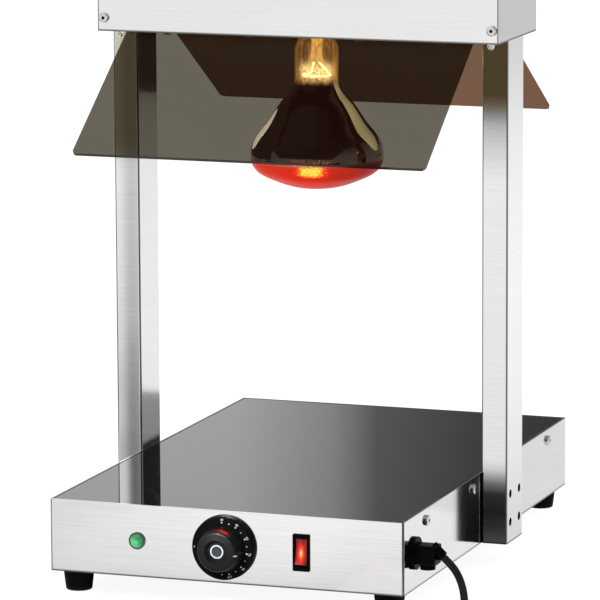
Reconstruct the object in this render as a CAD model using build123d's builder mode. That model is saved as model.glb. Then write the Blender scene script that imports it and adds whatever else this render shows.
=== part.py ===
from build123d import *
import os
from math import cos, dist, pi, radians, sin, sqrt, tan

os.makedirs("parts", exist_ok=True)

# Heat lamp gantry: a warming base with a black glass plate, two posts, and a head that holds
# one red infrared lamp between two tinted breath shields.
# Millimetres, +Z up, floor at Z = 0, front towards -Y, the operator's left at -X.

# Sheet, clearances and fasteners
casing_sheet = 1.5
head_sheet = 1.2
inner_sheet = 1.2
pan_sheet = 1.0
sheet_gap = 0.3
fit_gap = 0.1
running_gap = 0.05
hole_allowance = 0.3

m4 = 4.0
m4_nut_flats = 7.0
m4_nut_height = 3.2
m4_button_head = 7.6
m4_button_rise = 2.2
m4_pan_head = 7.4
m4_pan_rise = 2.4
m4_cap_head = 7.0
m4_dome_height = 8.0
m5 = 5.0
m5_nut_flats = 8.0
m5_nut_height = 4.0
m5_button_head = 9.5
m5_button_rise = 2.8
m5_pan_head = 9.5
m5_pan_rise = 3.2
screw_tail = 1.5
screw_end_gap = 1.0
screw_head_round = 0.45
m4_socket = 2.5
m4_cross = 2.0
m5_socket = 3.0

# Warming base
foot_height = 20.0
foot_top_diameter = 29.0
foot_bottom_diameter = 24.0
foot_edge_radius = 1.5
foot_inset = 20.0
foot_bore_diameter = 12.0
foot_bore_depth = 12.0

casing_width = 340.0
casing_depth = 514.0
casing_height = 67.0
casing_corner_radius = 2.5
casing_flange = 40.0

vent_length = 60.0
vent_width = 5.0
vent_pitch = 16.0
vent_count = 7
vent_row_pitch = 150.0

side_screw_drop = 10.5
side_screw_near = 50.0
side_screw_far = 192.0

# Glass plate and heater
glass_thickness = 4.0
glass_drop = 0.3
glass_corner_radius = 1.5
glass_chamfer = 0.4
seal_width = 8.0
seal_edge = 1.2
seal_bed = 0.6
seal_drop = 0.2
ledge_width = 18.0
frame_flange_height = 10.0
mat_thickness = 2.0
mat_margin = 5.5
board_thickness = 10.0
board_gap = 0.5
pan_flange = 14.0
pan_screw_pitch = 180.0

# Thermostat, dial and knob
dial_diameter = 59.6
dial_face_diameter = 58.2
dial_proud = 7.0
dial_edge = 1.5
dial_recess_diameter = 39.0
dial_floor = 3.0
knob_reach = 24.0
knob_gap = 0.5
knob_base_diameter = 43.0
knob_front_diameter = 36.6
knob_dome = 1.2
knob_brow = 3.0
knob_dish_diameter = 22.0
knob_dish_floor_diameter = 17.0
knob_dish_depth = 3.5
knob_shell = 2.5
knob_hub_diameter = 14.0
knob_cavity_depth = 9.5
knob_cap_diameter = 13.0
knob_cap_thickness = 1.2
knob_cap_recess = 1.0
knob_cap_groove_diameter = 9.4
knob_cap_groove_width = 0.8
knob_cap_groove_depth = 0.3
spindle_diameter = 6.0
spindle_reach = 18.0
spindle_inner_length = 15.0
spindle_bore_depth = 20.0
thermostat_width = 36.0
thermostat_height = 30.0
thermostat_depth = 26.0
thermostat_bush_diameter = 9.6
thermostat_bush_reach = 2.5
thermostat_screw_pitch = 28.0
thermostat_screw_depth = 8.0
sensor_diameter = 6.0
sensor_length = 70.0
sensor_x = -30.0
sensor_start = 120.0
capillary_diameter = 2.0
capillary_x = -8.0
capillary_rise = 6.0
capillary_lead = 30.0
capillary_end = 30.0
capillary_radius = 18.0
clip_sheet = 1.0
clip_width = 15.0
clip_ear = 8.0

# Pilot lamp and switch
pilot_x = -84.6
pilot_flange_diameter = 15.8
pilot_flange = 1.2
pilot_dome_diameter = 13.4
pilot_dome_rise = 3.2
pilot_shank_diameter = 12.6
pilot_lens_shank = 3.0
pilot_body_length = 24.0
switch_x = 73.4
switch_flange_width = 16.0
switch_flange_height = 34.0
switch_flange = 1.5
switch_flange_radius = 1.0
switch_body_width = 13.0
switch_body_height = 30.0
switch_body_depth = 24.0
switch_well_depth = 10.0
rocker_width = 10.6
rocker_half_length = 11.6
rocker_end_rise = 4.2
rocker_middle_rise = 2.6
rocker_root_width = 12.0
rocker_root_depth = 6.0
rocker_tilt = 11.0
rocker_side_gap = 0.3
rocker_end_gap = 0.4
trunnion_diameter = 3.0
trunnion_depth = 1.0

# Supply: gland, leads, coil and plug
gland_setback = 31.0
gland_flange_diameter = 30.0
gland_flange = 3.0
gland_block_width = 20.0
gland_block_height = 17.6
gland_block_length = 19.0
gland_block_radius = 3.0
gland_boss_diameter = 14.0
gland_boss_drop = 5.0
gland_boss_well = 3.0
gland_clamp_depth = 9.0
gland_stub_diameter = 15.8
gland_stub_length = 11.5
gland_nut_flats = 20.0
gland_nut_height = 5.0
spout_slope = 40.0
spout_diameter = 12.0
spout_tip_diameter = 10.0
spout_length = 14.0
spout_reach = 5.0
spout_drop = 2.0

terminal_width = 34.0
terminal_depth = 24.0
terminal_height = 18.0
terminal_x = 77.0
terminal_setback = 55.0
terminal_pole_pitch = 10.0
terminal_well_diameter = 5.0
terminal_well_depth = 6.0
terminal_row_pitch = 14.0
terminal_entry_height = 9.0

cord_diameter = 7.0
cord_share = 0.45
cord_fall = (
    (0.0, 40.0, 10.1),
    (11.7, 51.5, 12.1),
    (39.4, 56.6, 12.6),
    (63.3, 46.6, 13.4),
    (74.6, 29.8, 14.7),
)
cord_floor_side = (0.8, 1.6)
cord_floor_run = 16.0
coil_radius = 52.0
coil_gap = 0.6
coil_lower_halves = 5
coil_upper_halves = 4
coil_clear_of_casing = 7.5
coil_tail_length = 34.0
tie_width = 6.0
tie_strap = 1.0
tie_gap = 0.5
tie_radius = 2.0
floor_gap = 0.1
self_gap_wanted = 0.4
sample_step = 3.0

plug_head_diameter = 38.0
plug_head_length = 15.0
plug_waist_diameter = 26.0
plug_grip_length = 22.0
plug_relief_length = 24.0
plug_relief_tip_diameter = 10.0
plug_relief_root_diameter = 15.0
plug_edge = 1.5
pin_diameter = 4.8
pin_length = 19.0
pin_pitch = 19.0
pin_tip = 1.2

# Posts
post_width = 25.0
post_depth = 50.0
post_wall = 1.5
post_corner_radius = 2.0
post_head_overlap = 46.0
post_hole_pitch_y = 28.0
post_hole_low = 19.6
post_hole_high = 46.6
post_access_diameter = 8.2
post_plug_height = 10.0
backing_thickness = 3.0
backing_depth = 60.0
backing_height = 35.0
cable_diameter = 6.0
cable_rise = 31.3
cable_post_radius = 9.5
cable_head_radius = 17.0
cable_entry_radius = 9.0
cable_base_radius = 25.0
cable_head_height = 68.5
cable_turn_back = 70.0
grommet_hole_diameter = 12.0
grommet_flange_diameter = 15.0
grommet_flange = 1.5

# Head
head_bottom = 493.5
head_depth = 120.0
head_height = 80.0
head_corner_radius = 2.0
end_flange = 14.0
end_foot_flange = 20.0
cover_screw_inset = 6.2
cover_screw_rise = 12.5
tray_screw_inset = 13.8
tray_screw_clear = 12.5
tray_lip_height = 12.0
tray_lip_margin = 20.0
lamp_hole_diameter = 70.0
bracket_sheet = 2.0
bracket_foot = 24.0
bracket_height = 36.0
bracket_depth = 42.0
bracket_screw_pitch = 24.0
bracket_screw_rise = 22.0
bracket_screw_reach = 15.0

# Breath shields
shield_side_gap = 0.5
shield_thickness = 3.0
front_shield_angle = 34.5
rear_shield_angle = 31.7
shield_slope_length = 173.0
shield_bend = 52.5
shield_flange_start = 26.0
shield_bend_radius = 4.0
shield_corner_radius = 4.5
shield_screw_line = 38.0
shield_screw_near = 55.0
shield_screw_margin = 34.5

# Infrared lamp and its holder
lamp_hang = 148.5
lamp_length = 180.0
lamp_diameter = 125.0
lamp_wide_rise = 31.0
lamp_dome_diameter = 92.0
lamp_dome_rise = 10.5
lamp_cone_high_diameter = 94.0
lamp_cone_high_rise = 62.0
lamp_cone_low_diameter = 62.8
lamp_cone_low_rise = 84.5
lamp_neck_diameter = 41.4
lamp_neck_start_rise = 105.0
lamp_neck_end_rise = 133.0
lamp_seal_diameter = 25.8
lamp_seal_rise = 149.0
lamp_glass = 1.2
cap_diameter = 26.4
cap_shell_length = 23.0
cap_shell = 0.6
cap_contact_diameter = 10.0
stem_diameter = 10.0
stem_length = 30.0
stem_press = 7.0
filament_ring_diameter = 26.0
filament_wire = 1.6
filament_drop = 12.0
filament_sweep = 270.0
full_turn = 360.0
quarter_turn = 90.0
holder_diameter = 44.0
holder_rise = 5.0
holder_height = 42.0
holder_bore_gap = 0.4
holder_contact_gap = 2.0
holder_screw_pitch = 30.0
holder_screw_depth = 8.0
holder_bracket_width = 40.0
holder_bracket_span = 72.0
holder_bracket_foot = 13.0
holder_bracket_sheet = 1.5
holder_cable_hole = 8.0

# Derived places
casing_middle_y = knob_reach / 2
casing_bottom = foot_height
casing_top = casing_bottom + casing_height
front_y = casing_middle_y - casing_depth / 2
side_x = casing_width / 2
inner_width = casing_width - 2 * casing_sheet
inner_depth = casing_depth - 2 * casing_sheet
inner_corner_radius = casing_corner_radius - casing_sheet
flange_top = casing_bottom + casing_sheet
plate_top = flange_top + inner_sheet
control_z = casing_bottom + casing_height / 2
m4_hole = m4 + hole_allowance
m5_hole = m5 + hole_allowance

glass_top = casing_top - glass_drop
glass_bottom = glass_top - glass_thickness
glass_width = inner_width - 2 * seal_edge
glass_depth = inner_depth - 2 * seal_edge
ledge_top = glass_bottom - seal_bed
ledge_bottom = ledge_top - inner_sheet
ledge_opening_width = inner_width - 2 * ledge_width
ledge_opening_depth = inner_depth - 2 * ledge_width
mat_width = ledge_opening_width - 2 * mat_margin
mat_depth = ledge_opening_depth - 2 * mat_margin
mat_bottom = glass_bottom - mat_thickness
board_bottom = mat_bottom - board_thickness
pan_bottom = board_bottom - pan_sheet
pan_inner_width = mat_width + 2 * board_gap
pan_inner_depth = mat_depth + 2 * board_gap
pan_outer_width = pan_inner_width + 2 * pan_sheet
pan_outer_depth = pan_inner_depth + 2 * pan_sheet
pan_screw_x = (ledge_opening_width + pan_outer_width) / 4 + pan_flange / 2
side_screw_z = casing_top - side_screw_drop

shield_width = casing_width - 2 * shield_side_gap
shield_screw_far = shield_width / 2 - shield_screw_margin
post_x = side_x + post_width / 2
post_outer_x = side_x + post_width
head_half = post_outer_x + head_sheet
head_width = 2 * head_half
head_top = head_bottom + head_height
tray_bottom = head_bottom + head_sheet
tray_top = tray_bottom + head_sheet
post_top = head_bottom + post_head_overlap
cable_hole_z = casing_bottom + cable_rise
end_inner_y = head_depth / 2 - head_sheet - sheet_gap
tray_half_depth = end_inner_y - head_sheet - sheet_gap
tray_screw_y = post_depth / 2 + tray_screw_clear
tray_screw_x = head_half - tray_screw_inset
cover_screw_x = head_half - cover_screw_inset
cover_screw_z = head_bottom + cover_screw_rise

gland_y = front_y + gland_setback
lamp_bottom = head_bottom - lamp_hang
lamp_top = lamp_bottom + lamp_length
seal_z = lamp_bottom + lamp_seal_rise
holder_bottom = seal_z + holder_rise
holder_top = holder_bottom + holder_height

base_plane = Plane(origin=(0, casing_middle_y, 0))
front_plane = Plane(origin=(0, front_y, 0), x_dir=(1, 0, 0), z_dir=(0, -1, 0))
lamp_plane = Plane(origin=(0, casing_middle_y, 0), x_dir=(1, 0, 0), z_dir=(0, -1, 0))
lamp_axis = Axis((0, casing_middle_y, 0), (0, 0, 1))


def side_plane(side, x):
    # upright plane facing outwards at the given side, its own x running to the rear on the right
    return Plane(origin=(side * x, 0, 0), x_dir=(0, side, 0), z_dir=(side, 0, 0))


def control_plane(x):
    # turning profile for a control on the front: radius along x, distance out of the wall along y
    return Plane(origin=(x, front_y, control_z), x_dir=(1, 0, 0), z_dir=(0, 0, -1))


def control_axis(x):
    return Axis((x, front_y, control_z), (0, -1, 0))


def mirrored_pairs(x, y):
    # four places about the middle of the base, in the base's own sketch
    return [(i * x, j * y) for i in (-1, 1) for j in (-1, 1)]


# Fasteners, each along its own Z: the seat at 0, head above, shank below
def headed_screw(size, head, rise, length, socket):
    with BuildPart() as screw:
        with BuildSketch():
            Circle(head / 2)
        extrude(amount=rise)
        fillet(screw.edges().group_by(Axis.Z)[-1], rise * screw_head_round)
        with BuildSketch(Plane.XY.offset(rise)):
            RegularPolygon(socket / 2, 6, major_radius=False)
        extrude(amount=-rise / 2, mode=Mode.SUBTRACT)
        with BuildSketch():
            Circle(size / 2)
        extrude(amount=-length)
    return screw.part


def hex_nut(size, flats, height):
    with BuildPart() as nut:
        with BuildSketch():
            RegularPolygon(flats / 2, 6, major_radius=False)
            Circle(size / 2 + fit_gap, mode=Mode.SUBTRACT)
        extrude(amount=height)
    return nut.part


def facing(x, y, z, outward):
    # seat of a fastener whose head looks along outward
    across = (1, 0, 0) if outward[0] == 0 else (0, 1, 0)
    return Plane(origin=(x, y, z), x_dir=across, z_dir=outward)


# Turns of a cord path and the corner radii that use a fixed share of the shorter run
def corner_radii(points, share):
    radii = []
    for before, corner, after in zip(points, points[1:], points[2:]):
        first = Vector(*corner) - Vector(*before)
        second = Vector(*after) - Vector(*corner)
        turn = radians(first.get_angle(second))
        radii.append(share * min(first.length, second.length) / tan(turn / 2))
    return radii


def cord_tube(points, radii, diameter):
    with BuildLine() as route:
        FilletPolyline(*points, radius=radii)
    path = route.wire()
    with BuildPart() as tube:
        with BuildSketch(Plane(origin=path @ 0, z_dir=path % 0)):
            Circle(diameter / 2)
        sweep(path=path)
    wanted = pi * diameter**2 / 4 * path.length
    print(f"tube length {path.length:.1f}, volume share {tube.part.volume / wanted:.4f}")
    return tube


# Base casing: folded and welded stainless sheet, open above, with an inward bottom flange
foot_x = side_x - foot_inset
foot_y = casing_depth / 2 - foot_inset
side_screw_ys = [j * y for y in (side_screw_near, side_screw_far) for j in (-1, 1)]
post_hole_zs = (casing_bottom + post_hole_low, casing_bottom + post_hole_high)
post_hole_ys = (casing_middle_y - post_hole_pitch_y / 2, casing_middle_y + post_hole_pitch_y / 2)

with BuildPart() as base_casing:
    with BuildSketch(base_plane.offset(casing_bottom)):
        RectangleRounded(casing_width, casing_depth, casing_corner_radius)
    extrude(amount=casing_height)
    with BuildSketch(base_plane.offset(flange_top)):
        RectangleRounded(inner_width, inner_depth, inner_corner_radius)
    extrude(amount=casing_height, mode=Mode.SUBTRACT)
    with BuildSketch(base_plane.offset(casing_bottom)):
        Rectangle(inner_width - 2 * casing_flange, inner_depth - 2 * casing_flange)
        with Locations(*mirrored_pairs(foot_x, foot_y)):
            Circle(m5_hole / 2)
    extrude(amount=casing_sheet, mode=Mode.SUBTRACT)
    with BuildSketch(front_plane):
        with Locations((0, control_z)):
            Circle(thermostat_bush_diameter / 2 + fit_gap)
            with GridLocations(thermostat_screw_pitch, 0, 2, 1):
                Circle(m4_hole / 2)
        with Locations((pilot_x, control_z)):
            Circle(pilot_shank_diameter / 2 + fit_gap)
        with Locations((switch_x, control_z)):
            Rectangle(switch_body_width + 2 * fit_gap, switch_body_height + 2 * fit_gap)
    extrude(amount=-casing_sheet, mode=Mode.SUBTRACT)
    with BuildSketch(side_plane(1, side_x)):
        with Locations((gland_y, control_z)):
            Circle(gland_stub_diameter / 2 + fit_gap)
        with Locations((casing_middle_y, cable_hole_z)):
            Circle(grommet_hole_diameter / 2)
    extrude(amount=-casing_sheet, mode=Mode.SUBTRACT)
    for side in (-1, 1):
        with BuildSketch(side_plane(side, side_x)):
            with Locations(*[(side * (casing_middle_y + y), side_screw_z) for y in side_screw_ys]):
                Circle(m5_hole / 2)
            with Locations(*[(side * y, z) for y in post_hole_ys for z in post_hole_zs]):
                Circle(m4_hole / 2)
        extrude(amount=-casing_sheet, mode=Mode.SUBTRACT)

# Bottom plate: vented sheet lying on the casing's flange
terminal_y = front_y + terminal_setback
terminal_screw_x = terminal_width / 2 - m4
with BuildPart() as bottom_plate:
    with BuildSketch(base_plane.offset(flange_top)):
        RectangleRounded(inner_width - 2 * sheet_gap, inner_depth - 2 * sheet_gap, inner_corner_radius)
        with Locations(*mirrored_pairs(foot_x, foot_y)):
            Circle(m5_hole / 2, mode=Mode.SUBTRACT)
        with GridLocations(0, vent_row_pitch, 1, 2):
            with GridLocations(0, vent_pitch, 1, vent_count):
                SlotOverall(vent_length, vent_width, mode=Mode.SUBTRACT)
        with Locations((terminal_x, terminal_y - casing_middle_y)):
            with GridLocations(2 * terminal_screw_x, 0, 2, 1):
                Circle(m4_hole / 2, mode=Mode.SUBTRACT)
    extrude(amount=inner_sheet)

# Rubber feet: tapered, bored from below for their screws
with BuildPart() as foot:
    with BuildSketch(Plane.XZ):
        with BuildLine():
            Polyline(
                (foot_bore_diameter / 2, 0),
                (foot_bottom_diameter / 2, 0),
                (foot_top_diameter / 2, foot_height),
                (m5_hole / 2, foot_height),
                (m5_hole / 2, foot_bore_depth),
                (foot_bore_diameter / 2, foot_bore_depth),
                close=True,
            )
        make_face()
    revolve(axis=Axis.Z)
    fillet(foot.edges().group_by(Axis.Z)[0].sort_by(SortBy.RADIUS)[-1], foot_edge_radius)

foot_places = [(x, casing_middle_y + y) for x, y in mirrored_pairs(foot_x, foot_y)]
with BuildPart() as rubber_feet:
    with Locations(*[(x, y, 0) for x, y in foot_places]):
        add(foot.part)

foot_screw_length = plate_top + m5_nut_height + screw_tail - foot_bore_depth
foot_screw = headed_screw(m5, m5_pan_head, m5_pan_rise, foot_screw_length, m5_socket)
with BuildPart() as foot_screws:
    with Locations(*[facing(x, y, foot_bore_depth, (0, 0, -1)) for x, y in foot_places]):
        add(foot_screw)

# Glass frame: inner ledge with a turned-down flange along each side
frame_flange_x = inner_width / 2 - inner_sheet
with BuildPart() as glass_frame:
    with BuildSketch(base_plane.offset(ledge_bottom)):
        RectangleRounded(inner_width, inner_depth, inner_corner_radius)
        Rectangle(ledge_opening_width, ledge_opening_depth, mode=Mode.SUBTRACT)
        with GridLocations(2 * pan_screw_x, pan_screw_pitch, 2, 3):
            Circle(m4_hole / 2, mode=Mode.SUBTRACT)
    extrude(amount=inner_sheet)
    with BuildSketch(base_plane.offset(ledge_bottom)):
        with GridLocations(inner_width - inner_sheet, 0, 2, 1):
            Rectangle(inner_sheet, inner_depth - 2 * casing_corner_radius)
    extrude(amount=-frame_flange_height)
    for side in (-1, 1):
        with BuildSketch(side_plane(side, inner_width / 2)):
            with Locations(*[(side * (casing_middle_y + y), side_screw_z) for y in side_screw_ys]):
                Circle(m5_hole / 2)
        extrude(amount=-inner_sheet, mode=Mode.SUBTRACT)

# Silicone bed round and under the edge of the glass
with BuildPart() as glass_seal:
    with BuildSketch(base_plane.offset(ledge_top)):
        RectangleRounded(inner_width, inner_depth, inner_corner_radius)
        Rectangle(glass_width - 2 * seal_width, glass_depth - 2 * seal_width, mode=Mode.SUBTRACT)
    extrude(amount=seal_bed)
    with BuildSketch(base_plane.offset(glass_bottom)):
        RectangleRounded(inner_width, inner_depth, inner_corner_radius)
        RectangleRounded(glass_width, glass_depth, glass_corner_radius, mode=Mode.SUBTRACT)
    extrude(amount=glass_thickness - seal_drop)

# Black glass-ceramic warming plate
with BuildPart() as glass_plate:
    with BuildSketch(base_plane.offset(glass_bottom)):
        RectangleRounded(glass_width, glass_depth, glass_corner_radius)
    extrude(amount=glass_thickness)
    chamfer(glass_plate.edges().group_by(Axis.Z)[-1], glass_chamfer)

# Heating mat bonded under the glass, with an insulation board held up by a pressed pan
with BuildPart() as heating_mat:
    with BuildSketch(base_plane.offset(mat_bottom)):
        Rectangle(mat_width, mat_depth)
    extrude(amount=mat_thickness)

with BuildPart() as insulation_board:
    with BuildSketch(base_plane.offset(board_bottom)):
        Rectangle(mat_width, mat_depth)
    extrude(amount=board_thickness)

with BuildPart() as insulation_pan:
    with BuildSketch(base_plane.offset(pan_bottom)):
        Rectangle(pan_outer_width, pan_outer_depth)
    extrude(amount=ledge_bottom - pan_bottom)
    with BuildSketch(base_plane.offset(ledge_bottom)):
        Rectangle(pan_outer_width + 2 * pan_flange, pan_outer_depth)
    extrude(amount=-pan_sheet)
    with BuildSketch(base_plane.offset(board_bottom)):
        Rectangle(pan_inner_width, pan_inner_depth)
    extrude(amount=ledge_bottom - board_bottom, mode=Mode.SUBTRACT)
    with BuildSketch(base_plane.offset(ledge_bottom)):
        with GridLocations(2 * pan_screw_x, pan_screw_pitch, 2, 3):
            Circle(m4_hole / 2)
    extrude(amount=-pan_sheet, mode=Mode.SUBTRACT)

# Thermostat behind the front wall, its bush through the wall
thermostat_front_y = front_y + casing_sheet
thermostat_back_y = thermostat_front_y + thermostat_depth
with BuildPart() as thermostat_body:
    with BuildSketch(front_plane.offset(-casing_sheet)):
        with Locations((0, control_z)):
            RectangleRounded(thermostat_width, thermostat_height, casing_corner_radius)
    extrude(amount=-thermostat_depth)
    with BuildSketch(front_plane.offset(-casing_sheet)):
        with Locations((0, control_z)):
            Circle(thermostat_bush_diameter / 2)
    extrude(amount=casing_sheet + thermostat_bush_reach)
    with BuildSketch(front_plane.offset(thermostat_bush_reach)):
        with Locations((0, control_z)):
            Circle(spindle_diameter / 2 + running_gap)
    extrude(amount=-(thermostat_bush_reach + spindle_bore_depth), mode=Mode.SUBTRACT)
    with BuildSketch(front_plane.offset(-casing_sheet)):
        with Locations((0, control_z)):
            with GridLocations(thermostat_screw_pitch, 0, 2, 1):
                Circle(m4 / 2 + fit_gap)
    extrude(amount=-thermostat_screw_depth, mode=Mode.SUBTRACT)

with BuildPart() as thermostat_spindle:
    with BuildSketch(front_plane.offset(spindle_reach)):
        with Locations((0, control_z)):
            Circle(spindle_diameter / 2)
    extrude(amount=-(spindle_reach + spindle_inner_length))

# Sensor bulb under the pan, with its capillary to the thermostat
sensor_depth = running_gap + sensor_diameter / 2
sensor_z = pan_bottom - sensor_depth
sensor_front_y = front_y + sensor_start
capillary_z = control_z + capillary_rise
with BuildLine() as capillary_route:
    FilletPolyline(
        (capillary_x, thermostat_back_y, capillary_z),
        (capillary_x, thermostat_back_y + capillary_lead, capillary_z),
        (sensor_x, sensor_front_y - capillary_end, sensor_z),
        (sensor_x, sensor_front_y, sensor_z),
        radius=capillary_radius,
    )
capillary_path = capillary_route.wire()
with BuildPart() as thermostat_sensor:
    with BuildSketch(Plane(origin=capillary_path @ 0, z_dir=capillary_path % 0)):
        Circle(capillary_diameter / 2)
    sweep(path=capillary_path)
    with BuildSketch(Plane(origin=(sensor_x, sensor_front_y, sensor_z), z_dir=(0, 1, 0))):
        Circle(sensor_diameter / 2)
    extrude(amount=sensor_length)

clip_y = sensor_front_y + sensor_length / 2 - clip_width / 2
clip_plane = Plane(origin=(sensor_x, clip_y, sensor_z), x_dir=(1, 0, 0), z_dir=(0, 1, 0))
clip_inner = sensor_diameter / 2 + fit_gap
clip_outer = clip_inner + clip_sheet
with BuildPart() as sensor_clip:
    with BuildSketch(clip_plane):
        Circle(clip_outer)
        with Locations((0, -sensor_depth)):
            Rectangle(2 * clip_outer, sensor_depth, align=(Align.CENTER, Align.MIN))
            Rectangle(2 * (clip_outer + clip_ear), clip_sheet, align=(Align.CENTER, Align.MIN))
            Rectangle(2 * clip_inner, sensor_depth, align=(Align.CENTER, Align.MIN), mode=Mode.SUBTRACT)
        Circle(clip_inner, mode=Mode.SUBTRACT)
        with Locations((0, -sensor_depth)):
            Rectangle(2 * clip_outer, clip_outer, align=(Align.CENTER, Align.MAX), mode=Mode.SUBTRACT)
    extrude(amount=clip_width)

# Dial plate fixed to the wall, and the knob that turns in front of it
with BuildPart() as dial_plate:
    with BuildSketch(control_plane(0)):
        with BuildLine():
            Polyline(
                (thermostat_bush_diameter / 2 + fit_gap, 0),
                (dial_diameter / 2, 0),
                (dial_face_diameter / 2, dial_proud),
                (dial_recess_diameter / 2, dial_proud),
                (dial_recess_diameter / 2, dial_floor),
                (thermostat_bush_diameter / 2 + fit_gap, dial_floor),
                close=True,
            )
        make_face()
    revolve(axis=control_axis(0))
    fillet(dial_plate.edges().group_by(Axis.Y)[0].sort_by(SortBy.RADIUS)[-1], dial_edge)
    with BuildSketch(front_plane):
        with Locations((0, control_z)):
            with GridLocations(thermostat_screw_pitch, 0, 2, 1):
                Circle(m4_hole / 2)
    extrude(amount=dial_floor, mode=Mode.SUBTRACT)

knob_back = dial_proud + knob_gap
knob_dish_floor = knob_reach - knob_dish_depth
knob_taper = (knob_base_diameter - knob_front_diameter) / 2
knob_cavity_back = knob_base_diameter / 2 - knob_shell
with BuildPart() as control_knob:
    with BuildSketch(control_plane(0)):
        with BuildLine():
            Polyline(
                (0, knob_dish_floor - knob_cap_recess),
                (knob_cap_diameter / 2 + fit_gap, knob_dish_floor - knob_cap_recess),
                (knob_cap_diameter / 2 + fit_gap, knob_dish_floor),
                (knob_dish_floor_diameter / 2, knob_dish_floor),
                (knob_dish_diameter / 2, knob_reach),
                (knob_front_diameter / 2, knob_reach - knob_dome),
                (knob_base_diameter / 2, knob_back),
                (knob_cavity_back, knob_back),
                (knob_cavity_back - knob_taper / 2, knob_back + knob_cavity_depth),
                (knob_hub_diameter / 2, knob_back + knob_cavity_depth),
                (knob_hub_diameter / 2, knob_back),
                (spindle_diameter / 2 + running_gap, knob_back),
                (spindle_diameter / 2 + running_gap, spindle_reach + fit_gap),
                (0, spindle_reach + fit_gap),
                close=True,
            )
        make_face()
    revolve(axis=control_axis(0))
    fillet(control_knob.edges().filter_by(GeomType.CIRCLE).group_by(Axis.Y)[1], knob_brow)

with BuildPart() as knob_cap:
    with BuildSketch(front_plane.offset(knob_dish_floor - knob_cap_recess)):
        with Locations((0, control_z)):
            Circle(knob_cap_diameter / 2)
    extrude(amount=knob_cap_thickness)
    with BuildSketch(front_plane.offset(knob_dish_floor - knob_cap_recess + knob_cap_thickness)):
        with Locations((0, control_z)):
            Circle(knob_cap_groove_diameter / 2)
            Circle(knob_cap_groove_diameter / 2 - knob_cap_groove_width, mode=Mode.SUBTRACT)
    extrude(amount=-knob_cap_groove_depth, mode=Mode.SUBTRACT)

# Pilot lamp: green lens pushed through the wall into its body
pilot_lens_back = -casing_sheet - pilot_lens_shank
with BuildPart() as pilot_lens:
    with BuildSketch(control_plane(pilot_x)):
        with BuildLine():
            Polyline(
                (0, pilot_flange + pilot_dome_rise),
                (0, pilot_lens_back),
                (pilot_shank_diameter / 2, pilot_lens_back),
                (pilot_shank_diameter / 2, 0),
                (pilot_flange_diameter / 2, 0),
                (pilot_flange_diameter / 2, pilot_flange),
                (pilot_dome_diameter / 2, pilot_flange),
            )
            TangentArc(
                (0, pilot_flange + pilot_dome_rise),
                (pilot_dome_diameter / 2, pilot_flange),
                tangent=(1, 0),
            )
        make_face()
    revolve(axis=control_axis(pilot_x))

with BuildPart() as pilot_body:
    with BuildSketch(front_plane.offset(pilot_lens_back)):
        with Locations((pilot_x, control_z)):
            Circle(pilot_shank_diameter / 2)
    extrude(amount=-pilot_body_length)

# Mains switch: housing snapped into the wall, rocker on two trunnions
rocker_well_width = rocker_width + 2 * rocker_side_gap
rocker_swing = sqrt(rocker_half_length**2 + rocker_end_rise**2)
rocker_well_height = 2 * (rocker_swing + rocker_end_gap)
with BuildPart() as switch_housing:
    with BuildSketch(front_plane):
        with Locations((switch_x, control_z)):
            RectangleRounded(switch_flange_width, switch_flange_height, switch_flange_radius)
    extrude(amount=switch_flange)
    with BuildSketch(front_plane):
        with Locations((switch_x, control_z)):
            Rectangle(switch_body_width, switch_body_height)
    extrude(amount=-switch_body_depth)
    with BuildSketch(front_plane.offset(switch_flange)):
        with Locations((switch_x, control_z)):
            Rectangle(rocker_well_width, rocker_well_height)
    extrude(amount=-(switch_flange + switch_well_depth), mode=Mode.SUBTRACT)
    with BuildSketch(side_plane(1, switch_x - switch_body_width / 2)):
        with Locations((front_y + trunnion_depth + trunnion_diameter / 2, control_z)):
            Circle(trunnion_diameter / 2 + running_gap)
    extrude(amount=switch_body_width, mode=Mode.SUBTRACT)

rocker_pivot = (switch_x, front_y + trunnion_depth + trunnion_diameter / 2, control_z)
rocker_up = (0, sin(radians(rocker_tilt)), cos(radians(rocker_tilt)))
rocker_plane = Plane(origin=rocker_pivot, x_dir=rocker_up, z_dir=(1, 0, 0))
with BuildPart() as switch_rocker:
    with BuildSketch(rocker_plane.offset(-rocker_width / 2)):
        with BuildLine():
            ThreePointArc(
                (-rocker_half_length, rocker_end_rise),
                (0, rocker_middle_rise),
                (rocker_half_length, rocker_end_rise),
            )
            Polyline(
                (rocker_half_length, rocker_end_rise),
                (rocker_half_length, 0),
                (rocker_root_width / 2, -rocker_root_depth),
                (-rocker_root_width / 2, -rocker_root_depth),
                (-rocker_half_length, 0),
                (-rocker_half_length, rocker_end_rise),
            )
        make_face()
    extrude(amount=rocker_width)
    with BuildSketch(rocker_plane.offset(-switch_body_width / 2)):
        Circle(trunnion_diameter / 2)
    extrude(amount=switch_body_width)

# Ceramic terminal block on the bottom plate
with BuildPart() as terminal_block:
    with BuildSketch(Plane.XY.offset(plate_top)):
        with Locations((terminal_x, terminal_y)):
            Rectangle(terminal_width, terminal_depth)
            with GridLocations(2 * terminal_screw_x, 0, 2, 1):
                Circle(m4_hole / 2, mode=Mode.SUBTRACT)
    extrude(amount=terminal_height)
    with BuildSketch(Plane.XY.offset(plate_top + terminal_height)):
        with Locations((terminal_x, terminal_y)):
            with GridLocations(terminal_pole_pitch, terminal_row_pitch, 3, 2):
                Circle(terminal_well_diameter / 2)
    extrude(amount=-terminal_well_depth, mode=Mode.SUBTRACT)

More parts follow.
